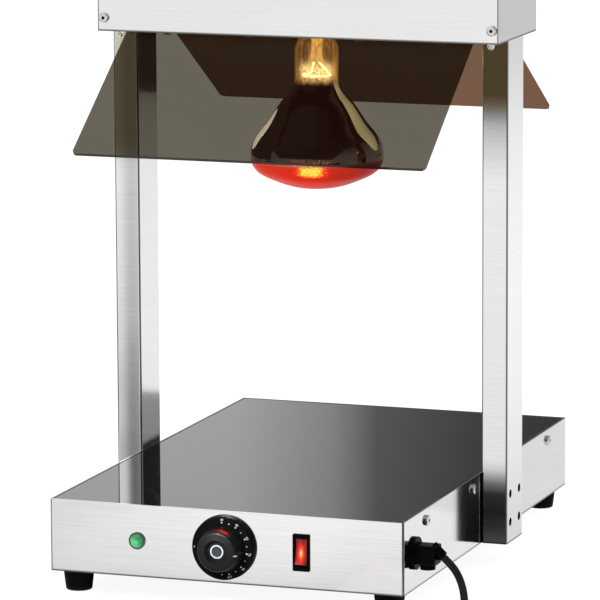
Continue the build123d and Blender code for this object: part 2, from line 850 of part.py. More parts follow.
# Cord gland through the right wall: flange, clamp block, clamp boss below, sloping spout
gland_right = side_plane(1, side_x)
block_start_x = side_x + gland_flange
block_end_x = block_start_x + gland_block_length
boss_x = (block_start_x + block_end_x) / 2
boss_bottom = control_z - gland_block_height / 2 - gland_boss_drop
spout_way = Vector(cos(radians(spout_slope)), 0, -sin(radians(spout_slope)))
spout_tip = Vector(block_end_x + spout_reach, gland_y, control_z - spout_drop)
spout_plane = Plane(origin=spout_tip, x_dir=(0, 1, 0), z_dir=spout_way)
with BuildPart() as cord_gland:
    with BuildSketch(gland_right):
        with Locations((gland_y, control_z)):
            Circle(gland_flange_diameter / 2)
    extrude(amount=gland_flange)
    with BuildSketch(gland_right.offset(gland_flange)):
        with Locations((gland_y, control_z)):
            RectangleRounded(gland_block_width, gland_block_height, gland_block_radius)
    extrude(amount=gland_block_length)
    with BuildSketch(gland_right):
        with Locations((gland_y, control_z)):
            Circle(gland_stub_diameter / 2)
    extrude(amount=-gland_stub_length)
    with BuildSketch(Plane.XY.offset(boss_bottom)):
        with Locations((boss_x, gland_y)):
            Circle(gland_boss_diameter / 2)
    extrude(amount=control_z - boss_bottom)
    with BuildSketch(spout_plane):
        Circle(spout_tip_diameter / 2)
    with BuildSketch(spout_plane.offset(-spout_length)):
        Circle(spout_diameter / 2)
    loft()
    with BuildSketch(Plane.XY.offset(boss_bottom)):
        with Locations((boss_x, gland_y)):
            Circle(m4_pan_head / 2 + hole_allowance)
    extrude(amount=gland_boss_well, mode=Mode.SUBTRACT)
    with BuildSketch(Plane.XY.offset(boss_bottom + gland_boss_well)):
        with Locations((boss_x, gland_y)):
            Circle(m4 / 2 + fit_gap)
    extrude(amount=gland_clamp_depth, mode=Mode.SUBTRACT)

clamp_screw = headed_screw(m4, m4_pan_head, m4_pan_rise, gland_clamp_depth - screw_end_gap, m4_cross)
with BuildPart() as gland_clamp_screw:
    with Locations(facing(boss_x, gland_y, boss_bottom + gland_boss_well, (0, 0, -1))):
        add(clamp_screw)

with BuildPart() as gland_locknut:
    with BuildSketch(side_plane(1, inner_width / 2)):
        with Locations((gland_y, control_z)):
            RegularPolygon(gland_nut_flats / 2, 6, major_radius=False)
            Circle(gland_stub_diameter / 2 + fit_gap, mode=Mode.SUBTRACT)
    extrude(amount=-gland_nut_height)

# Supply lead inside the base, from the gland down to the terminal block
terminal_entry_z = plate_top + terminal_entry_height
stub_end_x = side_x - gland_stub_length
terminal_right_x = terminal_x + terminal_width / 2
supply_room = stub_end_x - terminal_right_x
supply_points = [
    (stub_end_x, gland_y, control_z),
    (stub_end_x - supply_room / 3, gland_y, control_z),
    (terminal_right_x + supply_room / 3, terminal_y, terminal_entry_z),
    (terminal_right_x, terminal_y, terminal_entry_z),
]
supply_lead = cord_tube(supply_points, corner_radii(supply_points, cord_share), cord_diameter)

# Power cord: leaves the spout, drops to the floor and runs forward to the coil
tie_room = tie_gap + tie_strap + floor_gap
coil_low_z = cord_diameter / 2 + tie_room
coil_pitch = cord_diameter + coil_gap
coil_high_z = coil_low_z + coil_pitch
coil_y = front_y - coil_clear_of_casing - coil_radius - cord_diameter / 2
cord_points = [spout_tip]
for swing, slope, run in cord_fall:
    level = cos(radians(slope))
    step = Vector(level * cos(radians(swing)), -level * sin(radians(swing)), -sin(radians(slope)))
    cord_points.append(cord_points[-1] + step * run)
landing = cord_points[-1]
coil_start = Vector(landing.X + cord_floor_side[0], coil_y + cord_diameter, coil_low_z)
floor_stretch = landing.Y - coil_start.Y
floor_count = round(floor_stretch / cord_floor_run)
for i in range(1, floor_count):
    side_step = cord_floor_side[1] if i < floor_count - 1 else cord_floor_side[0]
    way_along = floor_stretch * i / floor_count
    cord_points.append(Vector(landing.X + side_step, landing.Y - way_along, coil_low_z))
cord_points.append(coil_start)
cord_points = [tuple(point) for point in cord_points]
cord_radii = corner_radii(cord_points, cord_share)
print("power cord radii", [round(radius, 1) for radius in cord_radii])
power_cord = cord_tube(cord_points, cord_radii, cord_diameter)

# Put-away coil: spirals in on the floor, climbs in the half turn where it reverses, spirals out
coil_x = coil_start.X - coil_radius
coil_inner_radius = coil_radius - coil_lower_halves * coil_pitch / 2
stations = []
for k in range(coil_lower_halves + 1):
    stations.append((coil_radius - k * coil_pitch / 2, coil_low_z))
for k in range(coil_upper_halves + 1):
    stations.append((coil_inner_radius + k * coil_pitch / 2, coil_high_z))


def station_point(k):
    side = 1 if k % 2 == 0 else -1
    return Vector(coil_x + side * stations[k][0], coil_y, stations[k][1])


def biarc(start, start_way, end, end_way):
    # two arcs that leave one point and reach another along given directions
    chord = end - start
    alike = start_way.dot(end_way)
    along = chord.dot(start_way + end_way)
    reach = chord.dot(chord) / (2 * along)
    if alike < 1:
        spread = 2 * (1 - alike)
        reach = (sqrt(along**2 + spread * chord.dot(chord)) - along) / spread
    near = start + start_way * reach
    far = end - end_way * reach
    middle = (near + far) * 0.5
    TangentArc(start, middle, tangent=start_way)
    TangentArc(middle, end, tangent=far - near)


plug_z = plug_head_diameter / 2 + floor_gap
coil_end = station_point(len(stations) - 1)
tail_end = Vector(coil_end.X, coil_y - coil_tail_length, plug_z)
relief_end = tail_end - Vector(0, cord_diameter, 0)
forward = Vector(0, -1, 0)
climb_rise = coil_high_z - coil_low_z
climb_radius = coil_inner_radius - coil_pitch / 4
climb_middle = Vector(coil_x, coil_y + climb_radius, (coil_low_z + coil_high_z) / 2)
climb_way = Vector(1, 0, 2 * climb_rise / (pi * climb_radius)).normalized()
with BuildLine() as coil_route:
    Line(coil_start, station_point(0))
    for k in range(len(stations) - 1):
        here = station_point(k)
        there = station_point(k + 1)
        if k == coil_lower_halves:
            biarc(here, -forward, climb_middle, climb_way)
            biarc(climb_middle, climb_way, there, forward)
        else:
            bow = (here - there).length / 2
            outward = -bow if k % 2 == 0 else bow
            ThreePointArc(here, (here + there) * 0.5 + Vector(0, outward, 0), there)
    biarc(coil_end, forward, tail_end, forward)
    Line(tail_end, relief_end)
coil_path = coil_route.wire()
with BuildPart() as cord_coil:
    with BuildSketch(Plane(origin=coil_start, z_dir=forward)):
        Circle(cord_diameter / 2)
    sweep(path=coil_path)

coil_length = coil_path.length
sample_count = int(coil_length / sample_step)
samples = [tuple(coil_path @ (i / sample_count)) for i in range(sample_count + 1)]
own_reach = int(coil_radius / sample_step)
least_gap = min(
    dist(samples[i], samples[j])
    for i in range(sample_count + 1)
    for j in range(i + own_reach, sample_count + 1)
) - cord_diameter
coil_share = cord_coil.part.volume / (pi * cord_diameter**2 / 4 * coil_length)
print(f"coil length {coil_length:.0f}, volume share {coil_share:.4f}")
print(f"coil's least gap to itself {least_gap:.2f}")
print("coil gap is", "enough" if least_gap > self_gap_wanted else "too small")

# Tie strapped round the turns at the front of the coil
strap_inner_r = stations[coil_lower_halves][0] + coil_pitch / 4 - cord_diameter / 2 - tie_gap
strap_outer_r = coil_radius - coil_pitch / 4 + cord_diameter / 2 + tie_gap
strap_low = coil_low_z - cord_diameter / 2 - tie_gap
strap_high = coil_high_z + cord_diameter / 2 + tie_gap
strap_depth = strap_outer_r - strap_inner_r
strap_height = strap_high - strap_low
tie_depth = strap_depth + 2 * tie_strap
tie_height = strap_height + 2 * tie_strap
with BuildPart() as cord_tie:
    with BuildSketch(side_plane(1, coil_x - tie_width / 2)):
        with Locations((coil_y - (strap_inner_r + strap_outer_r) / 2, (strap_low + strap_high) / 2)):
            RectangleRounded(tie_depth, tie_height, tie_radius + tie_strap)
            RectangleRounded(strap_depth, strap_height, tie_radius, mode=Mode.SUBTRACT)
    extrude(amount=tie_width)

# Plug lying on its side, with a strain relief towards the coil
plug_plane = Plane(origin=relief_end, x_dir=(1, 0, 0), z_dir=(0, 0, -1))
grip_start = plug_relief_length
head_start = grip_start + plug_grip_length
plug_length = head_start + plug_head_length
with BuildPart() as plug_body:
    with BuildSketch(plug_plane):
        with BuildLine():
            Polyline(
                (0, 0),
                (plug_relief_tip_diameter / 2, 0),
                (plug_relief_root_diameter / 2, grip_start),
                (plug_waist_diameter / 2, grip_start),
                (plug_waist_diameter / 2, head_start),
                (plug_head_diameter / 2, head_start + plug_edge),
                (plug_head_diameter / 2, plug_length),
                (0, plug_length),
                close=True,
            )
        make_face()
    revolve(axis=Axis(relief_end, (0, -1, 0)))
    fillet(plug_body.edges().group_by(Axis.Y)[0], plug_edge)

plug_face_y = relief_end.Y - plug_length
plug_face = Plane(origin=(relief_end.X, plug_face_y, plug_z), x_dir=(1, 0, 0), z_dir=(0, -1, 0))
with BuildPart() as plug_pins:
    with BuildSketch(plug_face):
        with GridLocations(pin_pitch, 0, 2, 1):
            Circle(pin_diameter / 2)
    extrude(amount=pin_length)
    fillet(plug_pins.edges().group_by(Axis.Y)[0], pin_tip)


# Posts: rectangular tube screwed to the casing's sides, access holes in the outer wall
def make_post(side):
    with BuildPart() as post:
        with BuildSketch(Plane(origin=(side * post_x, casing_middle_y, casing_bottom))):
            RectangleRounded(post_width, post_depth, post_corner_radius)
            Rectangle(post_width - 2 * post_wall, post_depth - 2 * post_wall, mode=Mode.SUBTRACT)
        extrude(amount=post_top - casing_bottom)
        with BuildSketch(side_plane(side, post_outer_x)):
            with Locations(*[(side * y, z) for y in post_hole_ys for z in post_hole_zs]):
                Circle(post_access_diameter / 2)
        extrude(amount=-post_wall, mode=Mode.SUBTRACT)
        with BuildSketch(side_plane(side, side_x)):
            with Locations(*[(side * y, z) for y in post_hole_ys for z in post_hole_zs]):
                Circle(m4_hole / 2)
            with Locations((side * casing_middle_y, tray_top + bracket_screw_rise)):
                with GridLocations(bracket_screw_pitch, 0, 2, 1):
                    Circle(m4_hole / 2)
            if side > 0:
                with Locations((casing_middle_y, cable_hole_z)):
                    Circle(grommet_hole_diameter / 2)
        extrude(amount=post_wall, mode=Mode.SUBTRACT)
    return post


left_post = make_post(-1)
right_post = make_post(1)

with BuildPart() as post_end_plugs:
    with BuildSketch(base_plane.offset(casing_bottom)):
        with GridLocations(2 * post_x, 0, 2, 1):
            Rectangle(post_width - 2 * post_wall - 2 * fit_gap, post_depth - 2 * post_wall - 2 * fit_gap)
    extrude(amount=post_plug_height)

post_hole_middle_z = sum(post_hole_zs) / 2
with BuildPart() as post_backing_plates:
    for side in (-1, 1):
        with BuildSketch(side_plane(side, inner_width / 2)):
            with Locations((side * casing_middle_y, post_hole_middle_z)):
                Rectangle(backing_depth, backing_height)
            with Locations(*[(side * y, z) for y in post_hole_ys for z in post_hole_zs]):
                Circle(m4_hole / 2, mode=Mode.SUBTRACT)
            if side > 0:
                with Locations((casing_middle_y, cable_hole_z)):
                    Circle(grommet_flange_diameter / 2 + hole_allowance, mode=Mode.SUBTRACT)
        extrude(amount=-backing_thickness)

backing_x = inner_width / 2 - backing_thickness
post_seat_x = side_x + post_wall
post_screw_length = post_seat_x - backing_x + m4_nut_height + screw_tail
post_screw = headed_screw(m4, m4_cap_head, m4, post_screw_length, m4_socket)
post_screw_places = [(y, z) for y in post_hole_ys for z in post_hole_zs]
with BuildPart() as post_screws:
    for side in (-1, 1):
        with Locations(*[facing(side * post_seat_x, y, z, (side, 0, 0)) for y, z in post_screw_places]):
            add(post_screw)

# Grommet where the lamp cable passes from the base into the right post
grommet_in_x = inner_width / 2
with BuildPart() as cable_grommet:
    with BuildSketch(Plane(origin=(0, casing_middle_y, cable_hole_z), x_dir=(0, 0, 1), z_dir=(0, 1, 0))):
        with BuildLine():
            Polyline(
                (cable_diameter / 2 + running_gap, grommet_in_x - grommet_flange),
                (grommet_flange_diameter / 2, grommet_in_x - grommet_flange),
                (grommet_flange_diameter / 2, grommet_in_x),
                (grommet_hole_diameter / 2 - running_gap, grommet_in_x),
                (grommet_hole_diameter / 2 - running_gap, post_seat_x),
                (grommet_flange_diameter / 2, post_seat_x),
                (grommet_flange_diameter / 2, post_seat_x + grommet_flange),
                (cable_diameter / 2 + running_gap, post_seat_x + grommet_flange),
                close=True,
            )
        make_face()
    revolve(axis=Axis((0, casing_middle_y, cable_hole_z), (1, 0, 0)))

# Lamp cable: terminal block, grommet, up inside the right post, across the head to the holder
terminal_back_y = terminal_y + terminal_depth / 2
cable_high_z = head_bottom + cable_head_height
cable_points = [
    (terminal_x, terminal_back_y, terminal_entry_z),
    (terminal_x, casing_middle_y - cable_turn_back, terminal_entry_z),
    ((terminal_x + side_x) / 2, casing_middle_y, cable_hole_z),
    (post_x, casing_middle_y, cable_hole_z),
    (post_x, casing_middle_y, cable_high_z),
    (0, casing_middle_y, cable_high_z),
    (0, casing_middle_y, holder_top),
]
cable_radii = [
    cable_base_radius,
    cable_base_radius,
    cable_post_radius,
    cable_head_radius,
    cable_entry_radius,
]
lamp_cable = cord_tube(cable_points, cable_radii, cable_diameter)

# Head cover: one folded sheet, front, top and rear
cover_plane = Plane(origin=(-head_half, casing_middle_y, head_bottom), x_dir=(0, 1, 0), z_dir=(1, 0, 0))
with BuildPart() as head_cover:
    with BuildSketch(cover_plane) as cover_outline:
        Rectangle(head_depth, head_height, align=(Align.CENTER, Align.MIN))
        fillet(cover_outline.vertices().group_by(Axis.Y)[-1], head_corner_radius)
        Rectangle(
            head_depth - 2 * head_sheet,
            head_height - head_sheet,
            align=(Align.CENTER, Align.MIN),
            mode=Mode.SUBTRACT,
        )
    extrude(amount=head_width)
    with BuildSketch(lamp_plane.offset(head_depth / 2)):
        with Locations((0, cover_screw_z)):
            with GridLocations(2 * cover_screw_x, 0, 2, 1):
                Circle(m5_hole / 2)
    extrude(amount=-head_depth, mode=Mode.SUBTRACT)


# End plates: pressed trays inside the ends of the cover, standing on the posts' outer faces
def make_head_end(side):
    end_height = head_height - head_sheet - sheet_gap
    face_x = post_outer_x
    with BuildPart() as end:
        with BuildSketch(side_plane(side, face_x)):
            with Locations((side * casing_middle_y, head_bottom)):
                Rectangle(2 * end_inner_y, end_height, align=(Align.CENTER, Align.MIN))
        extrude(amount=head_sheet)
        with BuildSketch(base_plane.offset(head_bottom)):
            with Locations((side * (face_x - end_flange / 2), 0)):
                with GridLocations(0, 2 * end_inner_y - head_sheet, 1, 2):
                    Rectangle(end_flange, head_sheet)
        extrude(amount=end_height)
        with BuildSketch(base_plane.offset(head_bottom + end_height - head_sheet)):
            with Locations((side * (face_x - end_flange / 2), 0)):
                Rectangle(end_flange, 2 * end_inner_y)
        extrude(amount=head_sheet)
        with BuildSketch(base_plane.offset(head_bottom)):
            with Locations((side * (face_x - end_foot_flange / 2), 0)):
                Rectangle(end_foot_flange, 2 * end_inner_y)
                Rectangle(end_foot_flange, post_depth + 2 * sheet_gap, mode=Mode.SUBTRACT)
            with Locations((side * tray_screw_x, 0)):
                with GridLocations(0, 2 * tray_screw_y, 1, 2):
                    Circle(m4_hole / 2, mode=Mode.SUBTRACT)
        extrude(amount=head_sheet)
        with BuildSketch(lamp_plane.offset(end_inner_y)):
            with Locations((side * cover_screw_x, cover_screw_z)):
                Circle(m5_hole / 2)
        extrude(amount=-2 * end_inner_y, mode=Mode.SUBTRACT)
    return end


head_end_left = make_head_end(-1)
head_end_right = make_head_end(1)

# Tray closing the head from below, with the lamp opening and notches for the posts
bracket_tray_x = side_x - bracket_screw_reach
tray_half_width = post_outer_x - sheet_gap
shield_screw_xs = [i * x for x in (shield_screw_near, shield_screw_far) for i in (-1, 1)]
with BuildPart() as head_tray:
    with BuildSketch(base_plane.offset(tray_bottom)):
        Rectangle(2 * tray_half_width, 2 * tray_half_depth)
        with GridLocations(2 * post_x, 0, 2, 1):
            Rectangle(post_width + 2 * sheet_gap, post_depth + 2 * sheet_gap, mode=Mode.SUBTRACT)
        Circle(lamp_hole_diameter / 2, mode=Mode.SUBTRACT)
        with Locations(*mirrored_pairs(tray_screw_x, tray_screw_y)):
            Circle(m4_hole / 2, mode=Mode.SUBTRACT)
        with Locations(*mirrored_pairs(bracket_tray_x, bracket_screw_pitch / 2)):
            Circle(m4_hole / 2, mode=Mode.SUBTRACT)
        with Locations(*[(x, j * shield_screw_line) for x in shield_screw_xs for j in (-1, 1)]):
            Circle(m4_hole / 2, mode=Mode.SUBTRACT)
    extrude(amount=head_sheet)
    with BuildSketch(base_plane.offset(tray_bottom)):
        with GridLocations(0, 2 * tray_half_depth - head_sheet, 1, 2):
            Rectangle(2 * (tray_half_width - tray_lip_margin), head_sheet)
    extrude(amount=tray_lip_height)

# Angle brackets between the tray and the posts
with BuildPart() as post_brackets:
    with BuildSketch(base_plane.offset(tray_top)):
        with GridLocations(2 * (side_x - bracket_foot / 2), 0, 2, 1):
            Rectangle(bracket_foot, bracket_depth)
        with Locations(*mirrored_pairs(bracket_tray_x, bracket_screw_pitch / 2)):
            Circle(m4_hole / 2, mode=Mode.SUBTRACT)
    extrude(amount=bracket_sheet)
    for side in (-1, 1):
        with BuildSketch(side_plane(side, side_x)):
            with Locations((side * casing_middle_y, tray_top)):
                Rectangle(bracket_depth, bracket_height, align=(Align.CENTER, Align.MIN))
            with Locations((side * casing_middle_y, tray_top + bracket_screw_rise)):
                with GridLocations(bracket_screw_pitch, 0, 2, 1):
                    Circle(m4_hole / 2, mode=Mode.SUBTRACT)
        extrude(amount=-bracket_sheet)


# Breath shields: tinted sheet, bent once, its flange screwed under the tray
def make_shield(outward, angle):
    slope = radians(angle)
    fold = shield_thickness * tan(slope / 2)
    end_u = shield_bend + shield_slope_length * cos(slope)
    end_z = tray_bottom - shield_slope_length * sin(slope)
    plane = Plane(
        origin=(-outward * shield_width / 2, casing_middle_y, 0),
        x_dir=(0, outward, 0),
        z_dir=(outward, 0, 0),
    )
    with BuildPart() as shield:
        with BuildSketch(plane) as profile:
            with BuildLine():
                Polyline(
                    (shield_flange_start, tray_bottom),
                    (shield_bend, tray_bottom),
                    (end_u, end_z),
                    (end_u - shield_thickness * sin(slope), end_z - shield_thickness * cos(slope)),
                    (shield_bend - fold, tray_bottom - shield_thickness),
                    (shield_flange_start, tray_bottom - shield_thickness),
                    close=True,
                )
            make_face()
            bend_corners = profile.vertices().filter_by(
                lambda v: abs((plane.to_local_coords(v)).X - shield_bend) < 2 * fold
            )
            outer_bend = bend_corners.sort_by(Axis.Z)[-1]
            fillet(outer_bend, shield_bend_radius + shield_thickness)
        extrude(amount=shield_width)
        tips = shield.edges().filter_by(lambda e: abs(e.length - shield_thickness) < fit_gap)
        fillet(tips.group_by(Axis.Z)[0], shield_corner_radius)
        with BuildSketch(base_plane.offset(tray_bottom)):
            with Locations(*[(x, outward * shield_screw_line) for x in shield_screw_xs]):
                Circle(m4_hole / 2)
        extrude(amount=-shield_thickness, mode=Mode.SUBTRACT)
    return shield


front_shield = make_shield(-1, front_shield_angle)
rear_shield = make_shield(1, rear_shield_angle)


# Infrared lamp: blown glass bulb, open inside, drawn in to the cap
def lamp_outline(inset):
    widest = (lamp_diameter / 2 - inset, lamp_bottom + lamp_wide_rise)
    neck_r = lamp_neck_diameter / 2 - inset
    neck_start = (neck_r, lamp_bottom + lamp_neck_start_rise)
    neck_end = (neck_r, lamp_bottom + lamp_neck_end_rise)
    seal_end = (lamp_seal_diameter / 2 - inset, seal_z)
    Spline(
        (0, lamp_bottom + inset),
        (lamp_dome_diameter / 2 - inset / 2, lamp_bottom + lamp_dome_rise + inset),
        widest,
        tangents=((1, 0), (0, 1)),
    )
    Spline(
        widest,
        (lamp_cone_high_diameter / 2 - inset, lamp_bottom + lamp_cone_high_rise),
        (lamp_cone_low_diameter / 2 - inset, lamp_bottom + lamp_cone_low_rise),
        neck_start,
        tangents=((0, 1), (0, 1)),
    )
    Polyline(neck_start, neck_end, seal_end, (0, seal_z), (0, lamp_bottom + inset))


with BuildPart() as lamp_bulb:
    with BuildSketch(lamp_plane):
        with BuildLine():
            lamp_outline(0)
        make_face()
    revolve(axis=lamp_axis)
    with BuildSketch(lamp_plane):
        with BuildLine():
            lamp_outline(lamp_glass)
        make_face()
    revolve(axis=lamp_axis, mode=Mode.SUBTRACT)

cap_shell_top = seal_z + cap_shell_length
with BuildPart() as lamp_cap:
    with BuildSketch(lamp_plane):
        with BuildLine():
            Polyline(
                (stem_diameter / 2 + fit_gap, seal_z),
                (cap_diameter / 2, seal_z),
                (cap_diameter / 2, cap_shell_top),
                (cap_contact_diameter / 2, lamp_top - cap_shell),
                (cap_contact_diameter / 2 - cap_shell, lamp_top),
                (0, lamp_top),
                (0, lamp_top - 2 * cap_shell),
                (cap_diameter / 2 - cap_shell, cap_shell_top - 2 * cap_shell),
                (cap_diameter / 2 - cap_shell, seal_z + cap_shell),
                (stem_diameter / 2 + fit_gap, seal_z + cap_shell),
                close=True,
            )
        make_face()
    revolve(axis=lamp_axis)

stem_bottom = seal_z - stem_length
with BuildPart() as lamp_stem:
    with BuildSketch(base_plane.offset(stem_bottom + stem_press)):
        Circle(stem_diameter / 2)
    extrude(amount=stem_length - stem_press + cap_shell)
    with BuildSketch(base_plane.offset(stem_bottom)):
        Rectangle(stem_diameter, stem_diameter / 2)
    extrude(amount=stem_press)

filament_z = stem_bottom - filament_drop
filament_start = quarter_turn + (full_turn - filament_sweep) / 2
filament_r = filament_ring_diameter / 2
lead_x = stem_diameter / 4
with BuildLine(base_plane.offset(filament_z)) as filament_route:
    CenterArc((0, 0), filament_r, filament_start, filament_sweep)
filament_path = filament_route.wire()
with BuildPart() as lamp_filament:
    with BuildSketch(Plane(origin=filament_path @ 0, z_dir=filament_path % 0)):
        Circle(filament_wire / 2)
    sweep(path=filament_path)
    for side in (-1, 1):
        ring_end = filament_path @ (0 if side < 0 else 1)
        lead_start = Vector(side * lead_x, casing_middle_y, stem_bottom)
        lead_way = ring_end - lead_start
        with BuildSketch(Plane(origin=ring_end, z_dir=lead_way * -1)):
            Circle(filament_wire / 2)
        extrude(amount=lead_way.length, mode=Mode.ADD)
    with BuildSketch(base_plane.offset(stem_bottom)):
        Rectangle(stem_diameter, stem_diameter)
    extrude(amount=stem_press, mode=Mode.SUBTRACT)

# Ceramic lamp holder hung from a bracket on the tray
holder_bore_r = cap_diameter / 2 + holder_bore_gap
with BuildPart() as lamp_holder:
    with BuildSketch(base_plane.offset(holder_bottom)):
        Circle(holder_diameter / 2)
    extrude(amount=holder_height)
    with BuildSketch(base_plane.offset(holder_bottom)):
        Circle(holder_bore_r)
    extrude(amount=lamp_top + holder_contact_gap - holder_bottom, mode=Mode.SUBTRACT)
    with BuildSketch(base_plane.offset(holder_top)):
        with GridLocations(holder_screw_pitch, 0, 2, 1):
            Circle(m4 / 2 + fit_gap)
    extrude(amount=-holder_screw_depth, mode=Mode.SUBTRACT)

with BuildPart() as holder_bracket:
    with BuildSketch(base_plane.offset(tray_top)):
        with GridLocations(0, holder_bracket_span + holder_bracket_foot, 1, 2):
            Rectangle(holder_bracket_width, holder_bracket_foot)
    extrude(amount=holder_bracket_sheet)
    with BuildSketch(base_plane.offset(tray_top)):
        with GridLocations(0, holder_bracket_span - holder_bracket_sheet, 1, 2):
            Rectangle(holder_bracket_width, holder_bracket_sheet)
    extrude(amount=holder_top + holder_bracket_sheet - tray_top)
    with BuildSketch(base_plane.offset(holder_top)):
        Rectangle(holder_bracket_width, holder_bracket_span)
        Circle(holder_cable_hole / 2, mode=Mode.SUBTRACT)
        with GridLocations(holder_screw_pitch, 0, 2, 1):
            Circle(m4_hole / 2, mode=Mode.SUBTRACT)
    extrude(amount=holder_bracket_sheet)

# Button-head M5 screws: the casing's sides and the head cover
side_screw_length = casing_sheet + inner_sheet + m5_nut_height + screw_tail
side_screw = headed_screw(m5, m5_button_head, m5_button_rise, side_screw_length, m5_socket)
cover_ys = {j: casing_middle_y + j * head_depth / 2 for j in (-1, 1)}
side_places = [(i, casing_middle_y + y) for i in (-1, 1) for y in side_screw_ys]
cover_places = [(x, j) for x in (-cover_screw_x, cover_screw_x) for j in (-1, 1)]
with BuildPart() as button_screws_m5:
    with Locations(*[facing(i * side_x, y, side_screw_z, (i, 0, 0)) for i, y in side_places]):
        add(side_screw)
    with Locations(*[facing(x, cover_ys[j], cover_screw_z, (0, j, 0)) for x, j in cover_places]):
        add(side_screw)

m5_nut = hex_nut(m5, m5_nut_flats, m5_nut_height)
cover_nut_ys = {j: casing_middle_y + j * (end_inner_y - head_sheet) for j in (-1, 1)}
with BuildPart() as hex_nuts_m5:
    with Locations(*[(x, y, plate_top) for x, y in foot_places]):
        add(m5_nut)
    with Locations(*[facing(i * frame_flange_x, y, side_screw_z, (-i, 0, 0)) for i, y in side_places]):
        add(m5_nut)
    with Locations(*[facing(x, cover_nut_ys[j], cover_screw_z, (0, -j, 0)) for x, j in cover_places]):
        add(m5_nut)

# Button-head M4 screws with nuts: the shields under the tray and the angle brackets
shield_screw_length = shield_thickness + head_sheet + m4_nut_height + screw_tail
bracket_screw_length = head_sheet + bracket_sheet + m4_nut_height + screw_tail
shield_screw = headed_screw(m4, m4_button_head, m4_button_rise, shield_screw_length, m4_socket)
bracket_screw = headed_screw(m4, m4_button_head, m4_button_rise, bracket_screw_length, m4_socket)
shield_places = [(x, casing_middle_y + j * shield_screw_line) for x in shield_screw_xs for j in (-1, 1)]
bracket_ys = (casing_middle_y - bracket_screw_pitch / 2, casing_middle_y + bracket_screw_pitch / 2)
bracket_places = [(i, y) for i in (-1, 1) for y in bracket_ys]
bracket_face_x = side_x - bracket_sheet
bracket_screw_z = tray_top + bracket_screw_rise
with BuildPart() as button_screws_m4:
    with Locations(*[facing(x, y, tray_bottom - shield_thickness, (0, 0, -1)) for x, y in shield_places]):
        add(shield_screw)
    with Locations(*[facing(i * bracket_tray_x, y, tray_bottom, (0, 0, -1)) for i, y in bracket_places]):
        add(bracket_screw)
    for side in (-1, 1):
        face_x = side * bracket_face_x
        with Locations(*[facing(face_x, y, bracket_screw_z, (-side, 0, 0)) for y in bracket_ys]):
            add(bracket_screw)

m4_nut = hex_nut(m4, m4_nut_flats, m4_nut_height)
with BuildPart() as hex_nuts_m4:
    for side in (-1, 1):
        with Locations(*[facing(side * backing_x, y, z, (-side, 0, 0)) for y, z in post_screw_places]):
            add(m4_nut)
    with Locations(*[(x, y, tray_top) for x, y in shield_places]):
        add(m4_nut)
    with Locations(*[(i * bracket_tray_x, y, tray_top + bracket_sheet) for i, y in bracket_places]):
        add(m4_nut)
    with Locations(*[facing(i * post_seat_x, y, bracket_screw_z, (i, 0, 0)) for i, y in bracket_places]):
        add(m4_nut)

# Pan-head M4 screws: heater pan, thermostat, terminal block, tray and lamp holder
def pan_head_screw(length):
    return headed_screw(m4, m4_pan_head, m4_pan_rise, length, m4_cross)


pan_screw = pan_head_screw(pan_sheet + inner_sheet + sheet_gap)
thermostat_screw = pan_head_screw(dial_floor + casing_sheet + thermostat_screw_depth - screw_end_gap)
terminal_screw = pan_head_screw(terminal_height + inner_sheet)
tray_screw = pan_head_screw(2 * head_sheet + m4_dome_height / 2)
holder_screw = pan_head_screw(holder_bracket_sheet + holder_screw_depth - screw_end_gap)
pan_ys = [casing_middle_y + i * pan_screw_pitch for i in (-1, 0, 1)]
pan_places = [(side * pan_screw_x, y) for side in (-1, 1) for y in pan_ys]
tray_places = [(x, casing_middle_y + y) for x, y in mirrored_pairs(tray_screw_x, tray_screw_y)]
thermostat_xs = (-thermostat_screw_pitch / 2, thermostat_screw_pitch / 2)
terminal_screw_xs = (terminal_x - terminal_screw_x, terminal_x + terminal_screw_x)
holder_screw_xs = (-holder_screw_pitch / 2, holder_screw_pitch / 2)
with BuildPart() as pan_screws_m4:
    with Locations(*[facing(x, y, ledge_bottom - pan_sheet, (0, 0, -1)) for x, y in pan_places]):
        add(pan_screw)
    with Locations(*[facing(x, front_y - dial_floor, control_z, (0, -1, 0)) for x in thermostat_xs]):
        add(thermostat_screw)
    with Locations(*[(x, terminal_y, plate_top + terminal_height) for x in terminal_screw_xs]):
        add(terminal_screw)
    with Locations(*[(x, y, tray_top) for x, y in tray_places]):
        add(tray_screw)
    with Locations(*[(x, casing_middle_y, holder_top + holder_bracket_sheet) for x in holder_screw_xs]):
        add(holder_screw)

# Domed cap nuts under the head's end flanges
with BuildPart() as cap_nut:
    with BuildSketch():
        RegularPolygon(m4_nut_flats / 2, 6, major_radius=False)
    extrude(amount=m4_nut_height)
    with BuildSketch(Plane.XY.offset(m4_nut_height)):
        Circle(m4_nut_flats / 2 - fit_gap)
    extrude(amount=m4_dome_height - m4_nut_height)
    fillet(cap_nut.edges().group_by(Axis.Z)[-1], m4_nut_flats / 2 - 2 * fit_gap)
    with BuildSketch():
        Circle(m4 / 2 + fit_gap)
    extrude(amount=m4_dome_height / 2 + fit_gap, mode=Mode.SUBTRACT)
with BuildPart() as tray_cap_nuts:
    with Locations(*[facing(x, y, head_bottom, (0, 0, -1)) for x, y in tray_places]):
        add(cap_nut.part)

